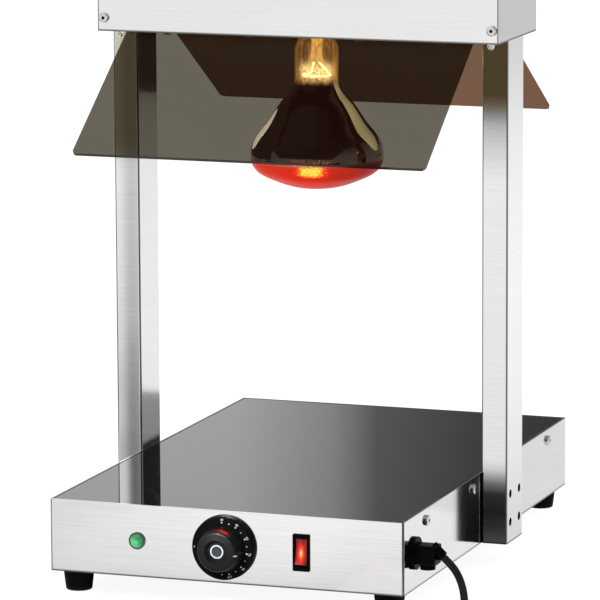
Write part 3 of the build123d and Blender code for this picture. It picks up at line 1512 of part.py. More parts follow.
pieces = {
    "base_casing": base_casing,
    "bottom_plate": bottom_plate,
    "rubber_feet": rubber_feet,
    "foot_screws": foot_screws,
    "glass_frame": glass_frame,
    "glass_seal": glass_seal,
    "glass_plate": glass_plate,
    "heating_mat": heating_mat,
    "insulation_board": insulation_board,
    "insulation_pan": insulation_pan,
    "thermostat_body": thermostat_body,
    "thermostat_spindle": thermostat_spindle,
    "thermostat_sensor": thermostat_sensor,
    "sensor_clip": sensor_clip,
    "dial_plate": dial_plate,
    "control_knob": control_knob,
    "knob_cap": knob_cap,
    "pilot_lens": pilot_lens,
    "pilot_body": pilot_body,
    "switch_housing": switch_housing,
    "switch_rocker": switch_rocker,
    "terminal_block": terminal_block,
    "cord_gland": cord_gland,
    "gland_clamp_screw": gland_clamp_screw,
    "gland_locknut": gland_locknut,
    "supply_lead": supply_lead,
    "power_cord": power_cord,
    "cord_coil": cord_coil,
    "cord_tie": cord_tie,
    "plug_body": plug_body,
    "plug_pins": plug_pins,
    "left_post": left_post,
    "right_post": right_post,
    "post_end_plugs": post_end_plugs,
    "post_backing_plates": post_backing_plates,
    "post_screws": post_screws,
    "cable_grommet": cable_grommet,
    "lamp_cable": lamp_cable,
    "head_cover": head_cover,
    "head_end_left": head_end_left,
    "head_end_right": head_end_right,
    "head_tray": head_tray,
    "post_brackets": post_brackets,
    "front_shield": front_shield,
    "rear_shield": rear_shield,
    "lamp_bulb": lamp_bulb,
    "lamp_cap": lamp_cap,
    "lamp_stem": lamp_stem,
    "lamp_filament": lamp_filament,
    "lamp_holder": lamp_holder,
    "holder_bracket": holder_bracket,
    "button_screws_m5": button_screws_m5,
    "hex_nuts_m5": hex_nuts_m5,
    "button_screws_m4": button_screws_m4,
    "hex_nuts_m4": hex_nuts_m4,
    "pan_screws_m4": pan_screws_m4,
    "tray_cap_nuts": tray_cap_nuts,
}
for name, piece in pieces.items():
    piece.part.label = name
    export_step(piece.part, f"parts/{name}.step")
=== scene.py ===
from math import cos, pi, radians, sin

import bpy
from mathutils import Matrix, Vector


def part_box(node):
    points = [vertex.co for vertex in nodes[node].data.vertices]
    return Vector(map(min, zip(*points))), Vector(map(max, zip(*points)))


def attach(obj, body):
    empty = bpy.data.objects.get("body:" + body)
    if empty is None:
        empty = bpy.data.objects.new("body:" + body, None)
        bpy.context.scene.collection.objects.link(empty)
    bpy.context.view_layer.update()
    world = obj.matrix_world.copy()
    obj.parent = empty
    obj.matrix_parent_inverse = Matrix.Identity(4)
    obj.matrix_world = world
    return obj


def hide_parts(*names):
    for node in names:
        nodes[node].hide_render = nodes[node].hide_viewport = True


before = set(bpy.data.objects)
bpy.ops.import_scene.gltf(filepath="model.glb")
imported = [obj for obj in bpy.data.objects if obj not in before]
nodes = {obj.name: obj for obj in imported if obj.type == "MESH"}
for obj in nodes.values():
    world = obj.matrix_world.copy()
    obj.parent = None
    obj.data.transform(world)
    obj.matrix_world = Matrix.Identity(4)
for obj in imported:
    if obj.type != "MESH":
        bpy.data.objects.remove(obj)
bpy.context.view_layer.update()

# Camera
# A long lens in front of the gantry, a little to its right and above, so that the uprights
# stay nearly parallel; the picture is square and the top of the head is cut by its edge.
scene = bpy.context.scene
eye_place = Vector((1.470504, -4.199830, 1.000349))
eye_turn = Matrix.Rotation(radians(19.46), 4, "Z")
eye_tilt = Matrix.Rotation(radians(90 - 9.70), 4, "X")
eye_roll = Matrix.Rotation(radians(-0.264), 4, "Z")
eye = bpy.data.objects.new("eye", bpy.data.cameras.new("eye"))
eye.data.lens = 287.3
eye.data.sensor_width = 36.0
eye.matrix_world = Matrix.Translation(eye_place) @ eye_turn @ eye_tilt @ eye_roll
scene.collection.objects.link(eye)
scene.camera = eye


# Studio
# A white paper floor in an even white surround, a large soft lamp overhead, one on each side and
# small ones at the bulb and the knob. Pale, grey and black boards stand round the gantry, which
# show only where its steel and glass mirror them: their ramps paint the light and shade seen in
# those reflections.
class Tone:
    """One socket of a node tree. Sums on it add Math nodes to that tree."""

    def __init__(self, tree, socket=None):
        self.tree = tree
        self.socket = socket

    def node(self, kind, settings, sockets, out=0):
        made = self.tree.nodes.new(kind)
        for name, value in settings.items():
            if name == "stops":
                ramp = made.color_ramp.elements
                ramp[0].position, ramp[0].color = value[0]
                ramp[1].position, ramp[1].color = value[-1]
                for place, colour in value[1:-1]:
                    ramp.new(place).color = colour
            else:
                setattr(made, name, value)
        for name, value in sockets.items():
            if isinstance(value, Tone):
                self.tree.links.new(value.socket, made.inputs[name])
            else:
                made.inputs[name].default_value = value
        return Tone(self.tree, made.outputs[out])

    def sum(self, operation, *values):
        return self.node("ShaderNodeMath", {"operation": operation}, dict(enumerate(values)))

    def __add__(self, other):
        return self.sum("ADD", self, other)

    __radd__ = __add__

    def __sub__(self, other):
        return self.sum("SUBTRACT", self, other)

    def __rsub__(self, other):
        return self.sum("SUBTRACT", other, self)

    def __mul__(self, other):
        return self.sum("MULTIPLY", self, other)

    __rmul__ = __mul__

    def __truediv__(self, other):
        return self.sum("DIVIDE", self, other)

    def __rtruediv__(self, other):
        return self.sum("DIVIDE", other, self)

    def __pow__(self, other):
        return self.sum("POWER", self, other)

    def __gt__(self, other):
        return self.sum("GREATER_THAN", self, other)

    def __lt__(self, other):
        return self.sum("LESS_THAN", self, other)

    def __abs__(self):
        return self.sum("ABSOLUTE", self)

    def most(self, other):
        return self.sum("MAXIMUM", self, other)

    def vector(self, operation, other, out="Vector"):
        return self.node("ShaderNodeVectorMath", {"operation": operation}, {0: self, 1: other}, out)

    def move(self, centre):
        return self.vector("SUBTRACT", centre)

    def along(self, direction):
        return self.vector("DOT_PRODUCT", direction, "Value")

    def reach(self, weights):
        flat = self.vector("MULTIPLY", weights)
        return self.node("ShaderNodeVectorMath", {"operation": "LENGTH"}, {0: flat}, "Value")

    def part(self, axis):
        return self.node("ShaderNodeSeparateXYZ", {}, {"Vector": self}, axis)

    def ramp(self, *stops):
        opaque = [(place, (*colour, 1.0)) for place, colour in stops]
        return self.node("ShaderNodeValToRGB", {"stops": opaque}, {"Fac": self})

    def band(self, low, high):
        limits = {"Value": self, "From Min": low, "From Max": high}
        return self.node("ShaderNodeMapRange", {"interpolation_type": "SMOOTHSTEP"}, limits)

    def tint(self, low, high):
        return self.node("ShaderNodeMix", {"data_type": "RGBA"}, {0: self, 6: low, 7: high}, 2)

    def stretch(self, scales):
        return self.node("ShaderNodeMapping", {}, {"Vector": self, "Scale": scales})

    def grain(self, scales, detail=3.0):
        sockets = {"Vector": self.stretch(scales), "Scale": 1.0, "Detail": detail}
        return self.node("ShaderNodeTexNoise", {}, sockets)

    def cells(self, scale, out="Color"):
        return self.node("ShaderNodeTexVoronoi", {}, {"Vector": self, "Scale": scale}, out)

    def waves(self, axis, scale, distortion=0.0):
        sockets = {"Vector": self, "Scale": scale, "Distortion": distortion}
        return self.node("ShaderNodeTexWave", {"bands_direction": axis}, sockets)

    def bump(self, strength, height):
        sockets = {"Height": self, "Strength": strength, "Distance": height}
        return self.node("ShaderNodeBump", {}, sockets)


def new_finish(name):
    material = bpy.data.materials.new(name)
    material.use_nodes = True
    bare = Tone(material.node_tree)
    return material, bare.node("ShaderNodeTexCoord", {}, {}, "Object")


def set_shader(material, sockets, shader="Principled BSDF"):
    tree = material.node_tree
    for name, value in sockets.items():
        socket = tree.nodes[shader].inputs[name]
        if isinstance(value, Tone):
            tree.links.new(value.socket, socket)
        else:
            socket.default_value = value


def stage_sheet(name, material, corners):
    mesh = bpy.data.meshes.new(name)
    mesh.from_pydata(corners, [], [tuple(range(len(corners)))])
    mesh.materials.append(material)
    sheet = bpy.data.objects.new(name, mesh)
    scene.collection.objects.link(sheet)
    return sheet


def mirrored_board(name, material, corners):
    board = stage_sheet(name, material, corners)
    board.visible_camera = False
    board.visible_diffuse = False
    board.visible_transmission = False
    board.visible_shadow = False


def at_height(height, *corners):
    return [(*corner, height) for corner in corners]


def black_board(name, glow=0.0):
    material, place = new_finish(name)
    set_shader(material, {
        "Base Color": (0.0, 0.0, 0.0, 1.0),
        "Specular IOR Level": 0.0,
        "Emission Strength": glow,
    })
    return material, place


def lights(*marks, low=0.0, high=1.0):
    stops = []
    for at, light in marks:
        colour = light if isinstance(light, tuple) else (light, light, light)
        stops.append(((at - low) / (high - low), colour))
    return stops


paper, paper_place = new_finish("floor_paper")
paper_fibre = paper_place.grain((3.0, 3.0, 3.0))
set_shader(paper, {
    "Base Color": paper_fibre.tint((0.16, 0.16, 0.16, 1), (0.18, 0.18, 0.18, 1)),
    "Roughness": 0.8,
    "Specular IOR Level": 0.0,
    "Emission Color": (1.0, 1.0, 1.0, 1.0),
    "Emission Strength": 0.92,
})
mm = 0.001
floor_low = -0.2 * mm
stage_sheet("floor", paper, at_height(floor_low, (-9, -9), (9, -9), (9, 9), (-9, 9)))

board, board_place = black_board("rear_board", glow=1.05)
board_left, board_run = -0.8, 0.6
board_fade = (board_place.part("X") - board_left) / board_run
set_shader(board, {"Emission Color": board_fade.ramp(*lights(
    (0.0, 1.0), (0.28, 0.95), (0.5, 0.6), (0.6, 0.24), (0.83, 0.13), (1.0, 0.1),
))})
mirrored_board("rear_board", board, [
    (-1.1, 1.5, 0.12), (-0.1, 1.5, 0.12), (-0.1, 1.5, 0.9), (-1.1, 1.5, 0.9),
])

flag, flag_place = new_finish("dark_board")
flag_cloth = flag_place.grain((9.0, 9.0, 9.0))
set_shader(flag, {
    "Base Color": flag_cloth.tint((0.004, 0.004, 0.004, 1), (0.008, 0.008, 0.008, 1)),
    "Roughness": 0.9,
    "Specular IOR Level": 0.0,
})
grey, grey_place = black_board("grey_board", glow=1.0)
grey_run = 4.0
grey_fade = abs(grey_place.part("Y")) / grey_run
set_shader(grey, {"Emission Color": grey_fade.ramp(*lights(
    (0.17, 0.4), (0.3, 0.8), (0.44, 0.98), (0.58, 0.45), (0.72, 0.62),
))})
board_low = 0.3 * mm
mirrored_board("dark_board_right", flag, at_height(
    board_low, (0.26, -0.2), (0.39, -0.76), (1.3, -3.0), (2.9, -1.7), (0.46, -0.24), (0.36, -0.14),
))
mirrored_board("dark_board_left", flag, at_height(
    board_low, (-0.55, -0.4), (-0.75, -0.15), (-3.2, -0.5), (-2.8, -2.0),
))
mirrored_board("dark_board_under", flag, at_height(
    board_low, (-0.155, -0.228), (0.155, -0.228), (0.155, 0.252), (-0.155, 0.252),
))
mirrored_board("grey_board_left", grey, at_height(
    board_low,
    (-0.39, -0.5), (-0.85, -0.5), (-1.8, -2.4), (-0.86, -2.4), (-0.58, -1.6), (-0.39, -0.8),
))
mirrored_board("grey_board_far", grey, at_height(
    board_low, (0.6, 3.1), (2.8, 3.1), (3.6, 6.0), (0.6, 6.0),
))

card_height = 18 * mm
mirrored_board("white_card", paper, at_height(
    card_height, (0.1, -0.25), (0.24, -0.25), (0.24, -0.37), (0.1, -0.37),
))

front_sheet, front_place = black_board("front_sheet", glow=1.12)
sheet_left, sheet_right = -0.4, 0.2
sheet_front, sheet_back = -0.72, -0.27
sheet_depth = (front_place.part("Y") - sheet_front) / (sheet_back - sheet_front)
sheet_across = (front_place.part("X") - sheet_left) / (sheet_right - sheet_left)
depth_light = sheet_depth.ramp(*lights(
    (-0.622, 1.07), (-0.581, 1.055), (-0.529, 1.026), (-0.469, 1.0),
    (-0.41, 0.96), (-0.362, 0.91), (-0.326, 0.86), (-0.3, 0.4),
    low=sheet_front, high=sheet_back,
))
across_light = sheet_across.ramp(*lights(
    (-0.29, 0.87), (-0.242, 0.948), (-0.207, 1.01), (-0.151, 1.044),
    (-0.037, 1.087), (0.016, 1.062), (0.065, 1.01), (0.1, 0.96),
    low=sheet_left, high=sheet_right,
))
set_shader(front_sheet, {"Emission Color": depth_light * across_light})
mirrored_board("front_sheet", front_sheet, at_height(
    board_low,
    (sheet_left, sheet_back), (sheet_left, sheet_front),
    (sheet_right, sheet_front), (sheet_right, sheet_back),
))

rear_sheet, rear_place = black_board("rear_sheet", glow=0.96)
rear_fibre = rear_place.grain((6.0, 6.0, 6.0))
set_shader(rear_sheet, {
    "Emission Color": rear_fibre.tint((0.97, 0.97, 0.97, 1.0), (1.0, 1.0, 1.0, 1.0)),
})
mirrored_board("rear_sheet", rear_sheet, at_height(
    board_low, (0.175, 0.2), (0.5, 0.2), (0.5, 0.9), (0.175, 0.9),
))


def seen_when(material, place, shown):
    tree = material.node_tree
    open_view = place.node("ShaderNodeBsdfTransparent", {}, {})
    closed_view = Tone(tree, tree.nodes["Principled BSDF"].outputs[0])
    view = place.node("ShaderNodeMixShader", {}, {0: shown, 1: open_view, 2: closed_view})
    set_shader(material, {"Surface": view}, "Material Output")


def ray_length(place):
    return place.node("ShaderNodeLightPath", {}, {}, "Ray Length")


def twice_mirrored(place):
    return place.node("ShaderNodeLightPath", {}, {}, "Glossy Depth") > 1.5


def near_before(place, distance):
    behind = place.node("ShaderNodeNewGeometry", {}, {}, "Backfacing")
    return (ray_length(place) < distance) * (1 - behind)


# The corner boards and the side card are black and show only after two mirrorings: painted shade in
# the double reflections on the steel and the glass.
corner_black, corner_place = black_board("corner_board")
seen_when(corner_black, corner_place, twice_mirrored(corner_place))
mirrored_board("corner_board_flat", corner_black, at_height(
    board_low, (0.175, 0.0), (0.175, -1.2), (1.2, -1.2), (1.2, 0.0),
))
mirrored_board("corner_board_upright", corner_black, [
    (0.0, -1.2, board_low), (1.4, -1.2, board_low), (1.4, -1.2, 0.7), (0.0, -1.2, 0.7),
])

side_card, side_place = black_board("side_card")
post_clearance = 105 * mm
past_post = ray_length(side_place) > post_clearance
seen_when(side_card, side_place, twice_mirrored(side_place) * past_post)
mirrored_board("side_card", side_card, [
    (-0.12, 0.08, 0.088), (-0.12, 0.2, 0.088), (-0.12, 0.2, 0.4), (-0.12, 0.08, 0.4),
])


# A card close to a post or the bulb, seen only by rays that reach it within a short distance: its
# emission ramps paint the reflections on that post or bulb.
def lit_card(name, corners, distance, once=False):
    material, place = black_board(name, glow=1.0)
    shown = near_before(place, distance)
    seen_when(material, place, shown * (1 - twice_mirrored(place)) if once else shown)
    mirrored_board(name, material, corners)
    return material, place


post_height = 500
left_card, left_place = lit_card("left_card", [
    (-0.185, -0.075, 0.06), (-0.235, -0.075, 0.06), (-0.235, -0.075, 0.49), (-0.185, -0.075, 0.49),
], distance=90 * mm)
left_edge, left_width = -219.5 * mm, 25 * mm
left_across = (left_place.part("X") - left_edge) / left_width
left_up = left_place.part("Z") / (post_height * mm)
left_light = left_up.ramp(*lights(
    (75, 0.62), (105, 0.78), (144, 0.8), (174, 0.93), (240, 1.05), (350, 1.14),
    (376, (0.8, 0.76, 0.58)), high=post_height,
))
left_shade = left_up.ramp(*lights(
    (75, 0.23), (125, 0.3), (174, 0.43), (202, 0.56), (350, 0.74),
    (376, (0.57, 0.49, 0.36)), high=post_height,
))
left_fade = left_across.ramp(*lights(
    (0.15, 0.0), (0.3, 0.26), (0.46, 0.75), (0.6, 1.0), (1.0, 0.75),
))
left_twice = left_across.ramp(*lights(
    (0.36, 2.5), (0.45, 1.5), (0.55, 0.48), (0.7, 0.34), (1.0, 0.8),
))
left_once = left_fade.tint(left_light, left_shade)
set_shader(left_card, {"Emission Color": twice_mirrored(left_place).tint(left_once, left_twice)})

right_card, right_place = lit_card("right_card", [
    (0.2, -0.02, 0.0), (0.16, -0.02, 0.0), (0.16, -0.02, 0.492), (0.2, -0.02, 0.492),
], distance=20 * mm, once=True)
right_glow = (right_place.part("Z") / (post_height * mm)).ramp(*lights(
    (20, 0.07), (34, 0.03), (50, 0.014), (66, 0.03), (76, 0.2), (83, 0.5), (90, 0.85),
    (98, 1.06), (360, 1.14), (375, 1.02), (397, 0.8), (412, 0.61), (420, 0.4),
    (427, (0.24, 0.22, 0.17)), (434, (0.144, 0.118, 0.079)), (441, (0.09, 0.062, 0.026)),
    high=post_height,
))
set_shader(right_card, {"Emission Color": right_glow})

outer_card, outer_place = lit_card("outer_card", [
    (0.202, -0.02, 0.0), (0.202, -0.02, 0.492), (0.202, 0.07, 0.492), (0.202, 0.07, 0.0),
], distance=30 * mm)
outer_glow = (outer_place.part("Z") / (post_height * mm)).ramp(*lights(
    (25, 0.85), (95, 1.05), (150, 1.14), (245, 1.2), (340, 1.16), (400, 1.08), (440, 0.98),
    (480, 0.87), high=post_height,
))
set_shader(outer_card, {"Emission Color": outer_glow})

bulb_card = lit_card("bulb_card_dark", [
    (-0.112, -0.08, 0.37), (-0.112, 0.1, 0.37), (-0.112, 0.1, 0.49), (-0.112, -0.08, 0.49),
], distance=140 * mm)[0]
set_shader(bulb_card, {"Emission Color": (0.15, 0.13, 0.12, 1.0)})

surround = bpy.data.worlds.new("surround")
surround.use_nodes = True
scene.world = surround
sky = Tone(surround.node_tree)
mirrored = sky.node("ShaderNodeLightPath", {}, {}, "Is Glossy Ray")
sky_height = sky.node("ShaderNodeTexCoord", {}, {}, "Generated").part("Z")
sky_shade = sky_height.ramp(*lights((0.0, 1.0), (0.2, 0.9), (0.5, 0.35), (0.9, 0.5)))
set_shader(surround, {
    "Color": mirrored.tint((0.97, 0.97, 0.97, 1.0), sky_shade),
    "Strength": 1.0,
}, "Background")


def soft_lamp(name, place, aim, size, watts, colour=(1.0, 1.0, 1.0), turn=0.0, spread=180.0):
    lamp = bpy.data.objects.new(name, bpy.data.lights.new(name, "AREA"))
    lamp.data.shape = "ELLIPSE"
    lamp.data.size, lamp.data.size_y = size
    lamp.data.energy = watts
    lamp.data.color = colour
    lamp.data.spread = radians(spread)
    lamp.location = place
    pointed = (Vector(aim) - Vector(place)).to_track_quat("-Z", "Y")
    turned = pointed.to_matrix() @ Matrix.Rotation(radians(turn), 3, "Z")
    lamp.rotation_euler = turned.to_euler()
    lamp.visible_camera = False
    scene.collection.objects.link(lamp)
    return lamp


soft_lamp("lamp_overhead", (-1.0, -1.5, 2.6), (0.0, 0.0, 0.2), size=(3.4, 3.4), watts=20.0)
bulb_height = (0.0, 0.0, 0.42)
lamp_left = soft_lamp("lamp_left", (-0.85, 0.25, 0.5), bulb_height, size=(0.2, 0.9), watts=1.9)
lamp_left.visible_glossy = False
lamp_right = soft_lamp("lamp_right", (0.95, 0.75, 0.8), bulb_height, size=(0.4, 1.0), watts=4.5)
lamp_right.visible_glossy = False
soft_lamp(
    "lamp_glow", (0.0, 0.012, 0.343), (0.0, -0.26, 0.07),
    size=(0.19, 0.1), watts=0.24, colour=(1.0, 0.05, 0.03), spread=50.0,
)
soft_lamp(
    "lamp_front", (-0.04, -0.427, 0.17), (0.0, -0.265, 0.062),
    size=(0.05, 0.05), watts=0.024, spread=22.0,
)
rim_right = Vector((0.0659, 0.0528, 0.435))
soft_lamp(
    "lamp_rim_right", rim_right, rim_right + Vector((-0.711, -0.542, -0.45)),
    size=(0.056, 0.11), watts=0.033, colour=(1.0, 1.0, 0.7), turn=-21.0, spread=100.0,
)
rim_left = Vector((-0.0832, 0.0269, 0.405))
soft_lamp(
    "lamp_rim_left", rim_left, rim_left + Vector((0.843, -0.358, -0.4)),
    size=(0.044, 0.055), watts=0.019, turn=25.6, spread=100.0,
)
scene.view_settings.view_transform = "Standard"


# Base casing
# A folded box of 1.5 mm stainless sheet, brushed along its length, open underneath. Its four
# bends keep a small radius, and the front wall is punched for the three controls.
def brushed_steel(name, shade, mark, dull, lower_edge, corner_line):
    material, place = new_finish(name)
    facing = place.node("ShaderNodeTexCoord", {}, {}, "Normal")
    squarely = 0.7
    level = abs(facing.part("Z")) > squarely
    fine, long = 1200.0, 14.0
    choice = {0: level, 4: place.stretch((long, long, fine)), 5: place.stretch((long, fine, long))}
    lines = place.node("ShaderNodeMix", {"data_type": "VECTOR"}, choice, 1)
    hair = lines.grain((2.3, 2.3, 2.3), 2.0)
    streak = lines.grain((1.0, 1.0, 1.0), 4.0) * 0.5 + hair * 0.5
    cloud = place.grain((9.0, 9.0, 14.0), 2.0)
    dark = (shade - mark, shade - mark + 0.002, shade - mark + 0.003)
    light = (shade + mark, shade + mark, shade + mark)
    tone = (streak * 0.8 + cloud * 0.2).ramp((0.34, dark), (0.66, light))
    # Painted shade and painted reflection: the base colour darkens where the sheet turns at the
    # bends, in a strip just above the bottom edge and along a thin line near the outer corner of
    # the front and rear faces.
    bend_shade = (abs(facing.part("X")) * abs(facing.part("Y"))).band(0.12, 0.4)
    lower_edge_shade = 1 - place.part("Z").band(lower_edge + 0.7 * mm, lower_edge + 2.2 * mm)
    corner_line_shade = abs(place.part("X")).band(corner_line, corner_line + 0.3 * mm) * (abs(facing.part("Y")) > squarely)
    shaded = (bend_shade * 0.85).most(lower_edge_shade * 0.9).most(corner_line_shade * 0.8)
    set_shader(material, {
        "Base Color": shaded.tint(tone, (0.05, 0.05, 0.05, 1.0)),
        "Metallic": 1.0,
        "Roughness": dull + streak * 0.08,
        "Normal": hair.bump(0.025, 0.1 * mm),
    })
    return material


def put_on(material, *names):
    for name in names:
        slots = nodes[name].data.materials
        slots.clear()
        slots.append(material)


foot_height = 20.0 * mm
casing_steel = brushed_steel(
    "casing_steel", shade=0.678, mark=0.06, dull=0.07, lower_edge=foot_height, corner_line=172.0 * mm,
)
put_on(casing_steel, "base_casing")


# Bottom plate, pan and other inner sheet metal
# Zinc-coated steel sheet, cut and bent, screwed inside the casing and the head where it holds
# the heater, the posts, the sensor and the lamp holder. The zinc shows as dull grey flakes.
zinc, zinc_place = new_finish("zinc_sheet")
flake = zinc_place.cells(170.0).part("X")
zinc_haze = zinc_place.grain((60.0, 60.0, 60.0), 4.0)
zinc_tone = flake * 0.5 + zinc_haze * 0.5
set_shader(zinc, {
    "Base Color": zinc_tone.ramp((0.2, (0.36, 0.37, 0.38)), (0.8, (0.58, 0.59, 0.6))),
    "Metallic": 1.0,
    "Roughness": 0.34 + flake * 0.16,
    "Normal": zinc_haze.bump(0.08, 0.2 * mm),
})
put_on(zinc, "bottom_plate", "glass_frame", "insulation_pan", "sensor_clip")
put_on(zinc, "post_backing_plates", "post_brackets", "holder_bracket")


# Screws, nuts and the thermostat spindle
# Stainless fasteners, turned and cold-headed, with button heads on the outside and pan heads
# and plain nuts inside; the lathe leaves fine rings and the tools leave small scuffs.
screw_steel, screw_place = new_finish("screw_steel")
scuff = screw_place.grain((900.0, 900.0, 900.0), 3.0)
screw_x, screw_y, screw_z = (screw_place.part(axis) for axis in "XYZ")
cover_screw_across, cover_screw_height = 190 * mm, 506 * mm
side_screw_middle, side_screw_height = 12 * mm, 76.5 * mm
side_screw_mean, side_screw_half_pitch = 121 * mm, 71 * mm
socket_floor, socket_rim = 1.35 * mm, 1.8 * mm
# The hex sockets of the cover screws, and at half strength those of the side screws, are drawn dark
# at their places: painted shade in the recesses.
from_cover = (abs(screw_x) - cover_screw_across) ** 2 + (screw_z - cover_screw_height) ** 2
along_side = abs(abs(screw_y - side_screw_middle) - side_screw_mean) - side_screw_half_pitch
from_side = along_side ** 2 + (screw_z - side_screw_height) ** 2
cover_socket_shade = 1 - (from_cover ** 0.5).band(socket_floor, socket_rim)
side_socket_shade = 1 - (from_side ** 0.5).band(socket_floor, socket_rim)
screw_tone = scuff.ramp((0.35, (0.5, 0.5, 0.5)), (0.65, (0.7, 0.7, 0.69)))
set_shader(screw_steel, {
    "Base Color": cover_socket_shade.most(side_socket_shade * 0.5).tint(screw_tone, (0.01, 0.01, 0.01, 1.0)),
    "Metallic": 1.0,
    "Roughness": 0.16 + scuff * 0.16,
    "Normal": scuff.bump(0.06, 0.1 * mm),
})
put_on(screw_steel, "foot_screws", "thermostat_spindle", "gland_clamp_screw", "post_screws")
put_on(screw_steel, "button_screws_m5", "hex_nuts_m5", "button_screws_m4", "hex_nuts_m4")
put_on(screw_steel, "pan_screws_m4", "tray_cap_nuts")


# Rubber feet and cable grommet
# Four moulded black rubber feet, each held by a screw up into the bottom plate, and the rubber
# ring that keeps the lamp cable off the sheet. The lowest rim picks up a little grey dust.
def black_rubber(name, dust):
    material, place = new_finish(name)
    pores = place.grain((1300.0, 1300.0, 1300.0), 2.0)
    cloud = place.grain((70.0, 70.0, 70.0), 3.0)
    rim = 1 - place.part("Z").band(0.0, 4 * mm)
    worn = rim * cloud * dust
    set_shader(material, {
        "Base Color": worn.ramp((0.0, (0.0015, 0.0015, 0.0015)), (1.0, (0.05, 0.048, 0.046))),
        "Roughness": 0.5 + cloud * 0.2,
        "Specular IOR Level": 0.04,
        "Normal": pores.bump(0.25, 0.08 * mm),
    })
    return material


foot_rubber = black_rubber("foot_rubber", dust=0.35)
put_on(foot_rubber, "rubber_feet", "cable_grommet")


# Warming surface
# One pane of black glass-ceramic let into the casing and bedded in a bead of black silicone.
# It is polished, almost opaque, with very fine grey specks under the surface.
pane, pane_place = new_finish("black_pane")
speck = pane_place.cells(900.0, "Distance")
pane_haze = pane_place.grain((16.0, 16.0, 16.0), 4.0)
set_shader(pane, {
    "Base Color": (speck < 0.1).tint((0.0035, 0.0035, 0.004, 1), (0.01, 0.01, 0.011, 1)),
    "Roughness": 0.015 + pane_haze * 0.02,
    "IOR": 1.47,
})
put_on(pane, "glass_plate")

bead, bead_place = new_finish("silicone_bead")
bead_skin = bead_place.grain((240.0, 240.0, 240.0), 3.0)
set_shader(bead, {
    "Base Color": bead_skin.ramp((0.3, (0.007, 0.007, 0.007)), (0.7, (0.02, 0.02, 0.02))),
    "Roughness": 0.36 + bead_skin * 0.15,
    "Normal": bead_skin.bump(0.2, 0.3 * mm),
})
put_on(bead, "glass_seal")


# Heater under the glass
# A silicone heating mat with its wire pressed in, backed by a board of mineral fibre; the
# pan presses both against the pane. The thermostat's copper phial is clipped below them.
mat, mat_place = new_finish("heating_mat")
mat_wire = mat_place.waves("X", 40.0)
set_shader(mat, {
    "Base Color": mat_wire.tint((0.42, 0.09, 0.03, 1), (0.52, 0.13, 0.05, 1)),
    "Roughness": 0.6 + mat_wire * 0.1,
    "Normal": mat_wire.bump(0.3, 0.5 * mm),
})
put_on(mat, "heating_mat")

fibre, fibre_place = new_finish("fibre_board")
strand = fibre_place.grain((120.0, 900.0, 300.0), 5.0)
set_shader(fibre, {
    "Base Color": strand.ramp((0.3, (0.5, 0.46, 0.36)), (0.7, (0.76, 0.73, 0.64))),
    "Roughness": 0.85 + strand * 0.1,
    "Normal": strand.bump(0.5, 0.6 * mm),
})
put_on(fibre, "insulation_board")

phial, phial_place = new_finish("phial_copper")
tarnish = phial_place.grain((90.0, 90.0, 90.0), 4.0)
set_shader(phial, {
    "Base Color": tarnish.ramp((0.3, (0.5, 0.2, 0.1)), (0.7, (0.78, 0.4, 0.25))),
    "Metallic": 1.0,
    "Roughness": 0.25 + tarnish * 0.2,
})
put_on(phial, "thermostat_sensor")


# Thermostat, dial plate and knob
# The thermostat sits behind the front wall. Its moulded dial plate is screwed on from outside
# and printed in white, and the satin knob pushes onto the spindle, with a ringed disc let in.
def moulded_black(name, shade, matt, shine, pit):
    material, place = new_finish(name)
    fine = place.grain((2600.0, 2600.0, 2600.0), 2.0)
    cloud = place.grain((50.0, 50.0, 50.0), 3.0)
    low = (shade * 0.75, shade * 0.75, shade * 0.78)
    high = (shade * 1.3, shade * 1.3, shade * 1.3)
    set_shader(material, {
        "Base Color": cloud.ramp((0.3, low), (0.7, high)),
        "Roughness": matt + cloud * 0.08,
        "Specular IOR Level": shine,
        "Normal": fine.bump(pit, 0.05 * mm),
    })
    return material


satin_black = moulded_black("satin_black", shade=0.0015, matt=0.34, shine=0.03, pit=0.25)
knob_black = moulded_black("knob_black", shade=0.002, matt=0.36, shine=0.18, pit=0.06)
dial_black = moulded_black("dial_black", shade=0.0015, matt=0.5, shine=0.04, pit=0.25)
put_on(satin_black, "thermostat_body")
put_on(dial_black, "dial_plate")
put_on(knob_black, "control_knob")

control_height = 53.5 * mm
disc, disc_place = new_finish("knob_disc")
disc_reach = disc_place.move((0.0, 0.0, control_height)).reach((1.0, 0.0, 1.0))
ring_inside, ring_outside = (4.9 * mm, 5.2 * mm), (6.1 * mm, 6.3 * mm)
ring = disc_reach.band(*ring_inside) * (1 - disc_reach.band(*ring_outside))
disc_brush = disc_place.grain((700.0, 700.0, 700.0), 2.0)
set_shader(disc, {
    "Base Color": ring.tint((0.012, 0.012, 0.013, 1), (0.5, 0.53, 0.56, 1)),
    "Metallic": ring * 0.6,
    "Roughness": 0.22 + disc_brush * 0.12,
})
put_on(disc, "knob_cap")

print_white, print_place = new_finish("print_white")
ink = print_place.grain((1500.0, 1500.0, 1500.0), 2.0)
set_shader(print_white, {
    "Base Color": ink.ramp((0.3, (0.36, 0.36, 0.36)), (0.7, (0.48, 0.48, 0.48))),
    "Roughness": 0.45 + ink * 0.1,
})

dial_face = -252.0 * mm
print_film = 0.06 * mm
scale_step = radians(180 / 11)


def recipe(name, sizes):
    tree = bpy.data.node_groups.new(name, "GeometryNodeTree")
    tree.interface.new_socket("Geometry", in_out="OUTPUT", socket_type="NodeSocketGeometry")
    given = tree.nodes.new("NodeGroupInput")
    inputs = {}
    for label, value in sizes.items():
        kind = "NodeSocketInt" if isinstance(value, int) else "NodeSocketFloat"
        tree.interface.new_socket(label, in_out="INPUT", socket_type=kind)
        inputs[label] = Tone(tree, given.outputs[label])
    return tree, inputs


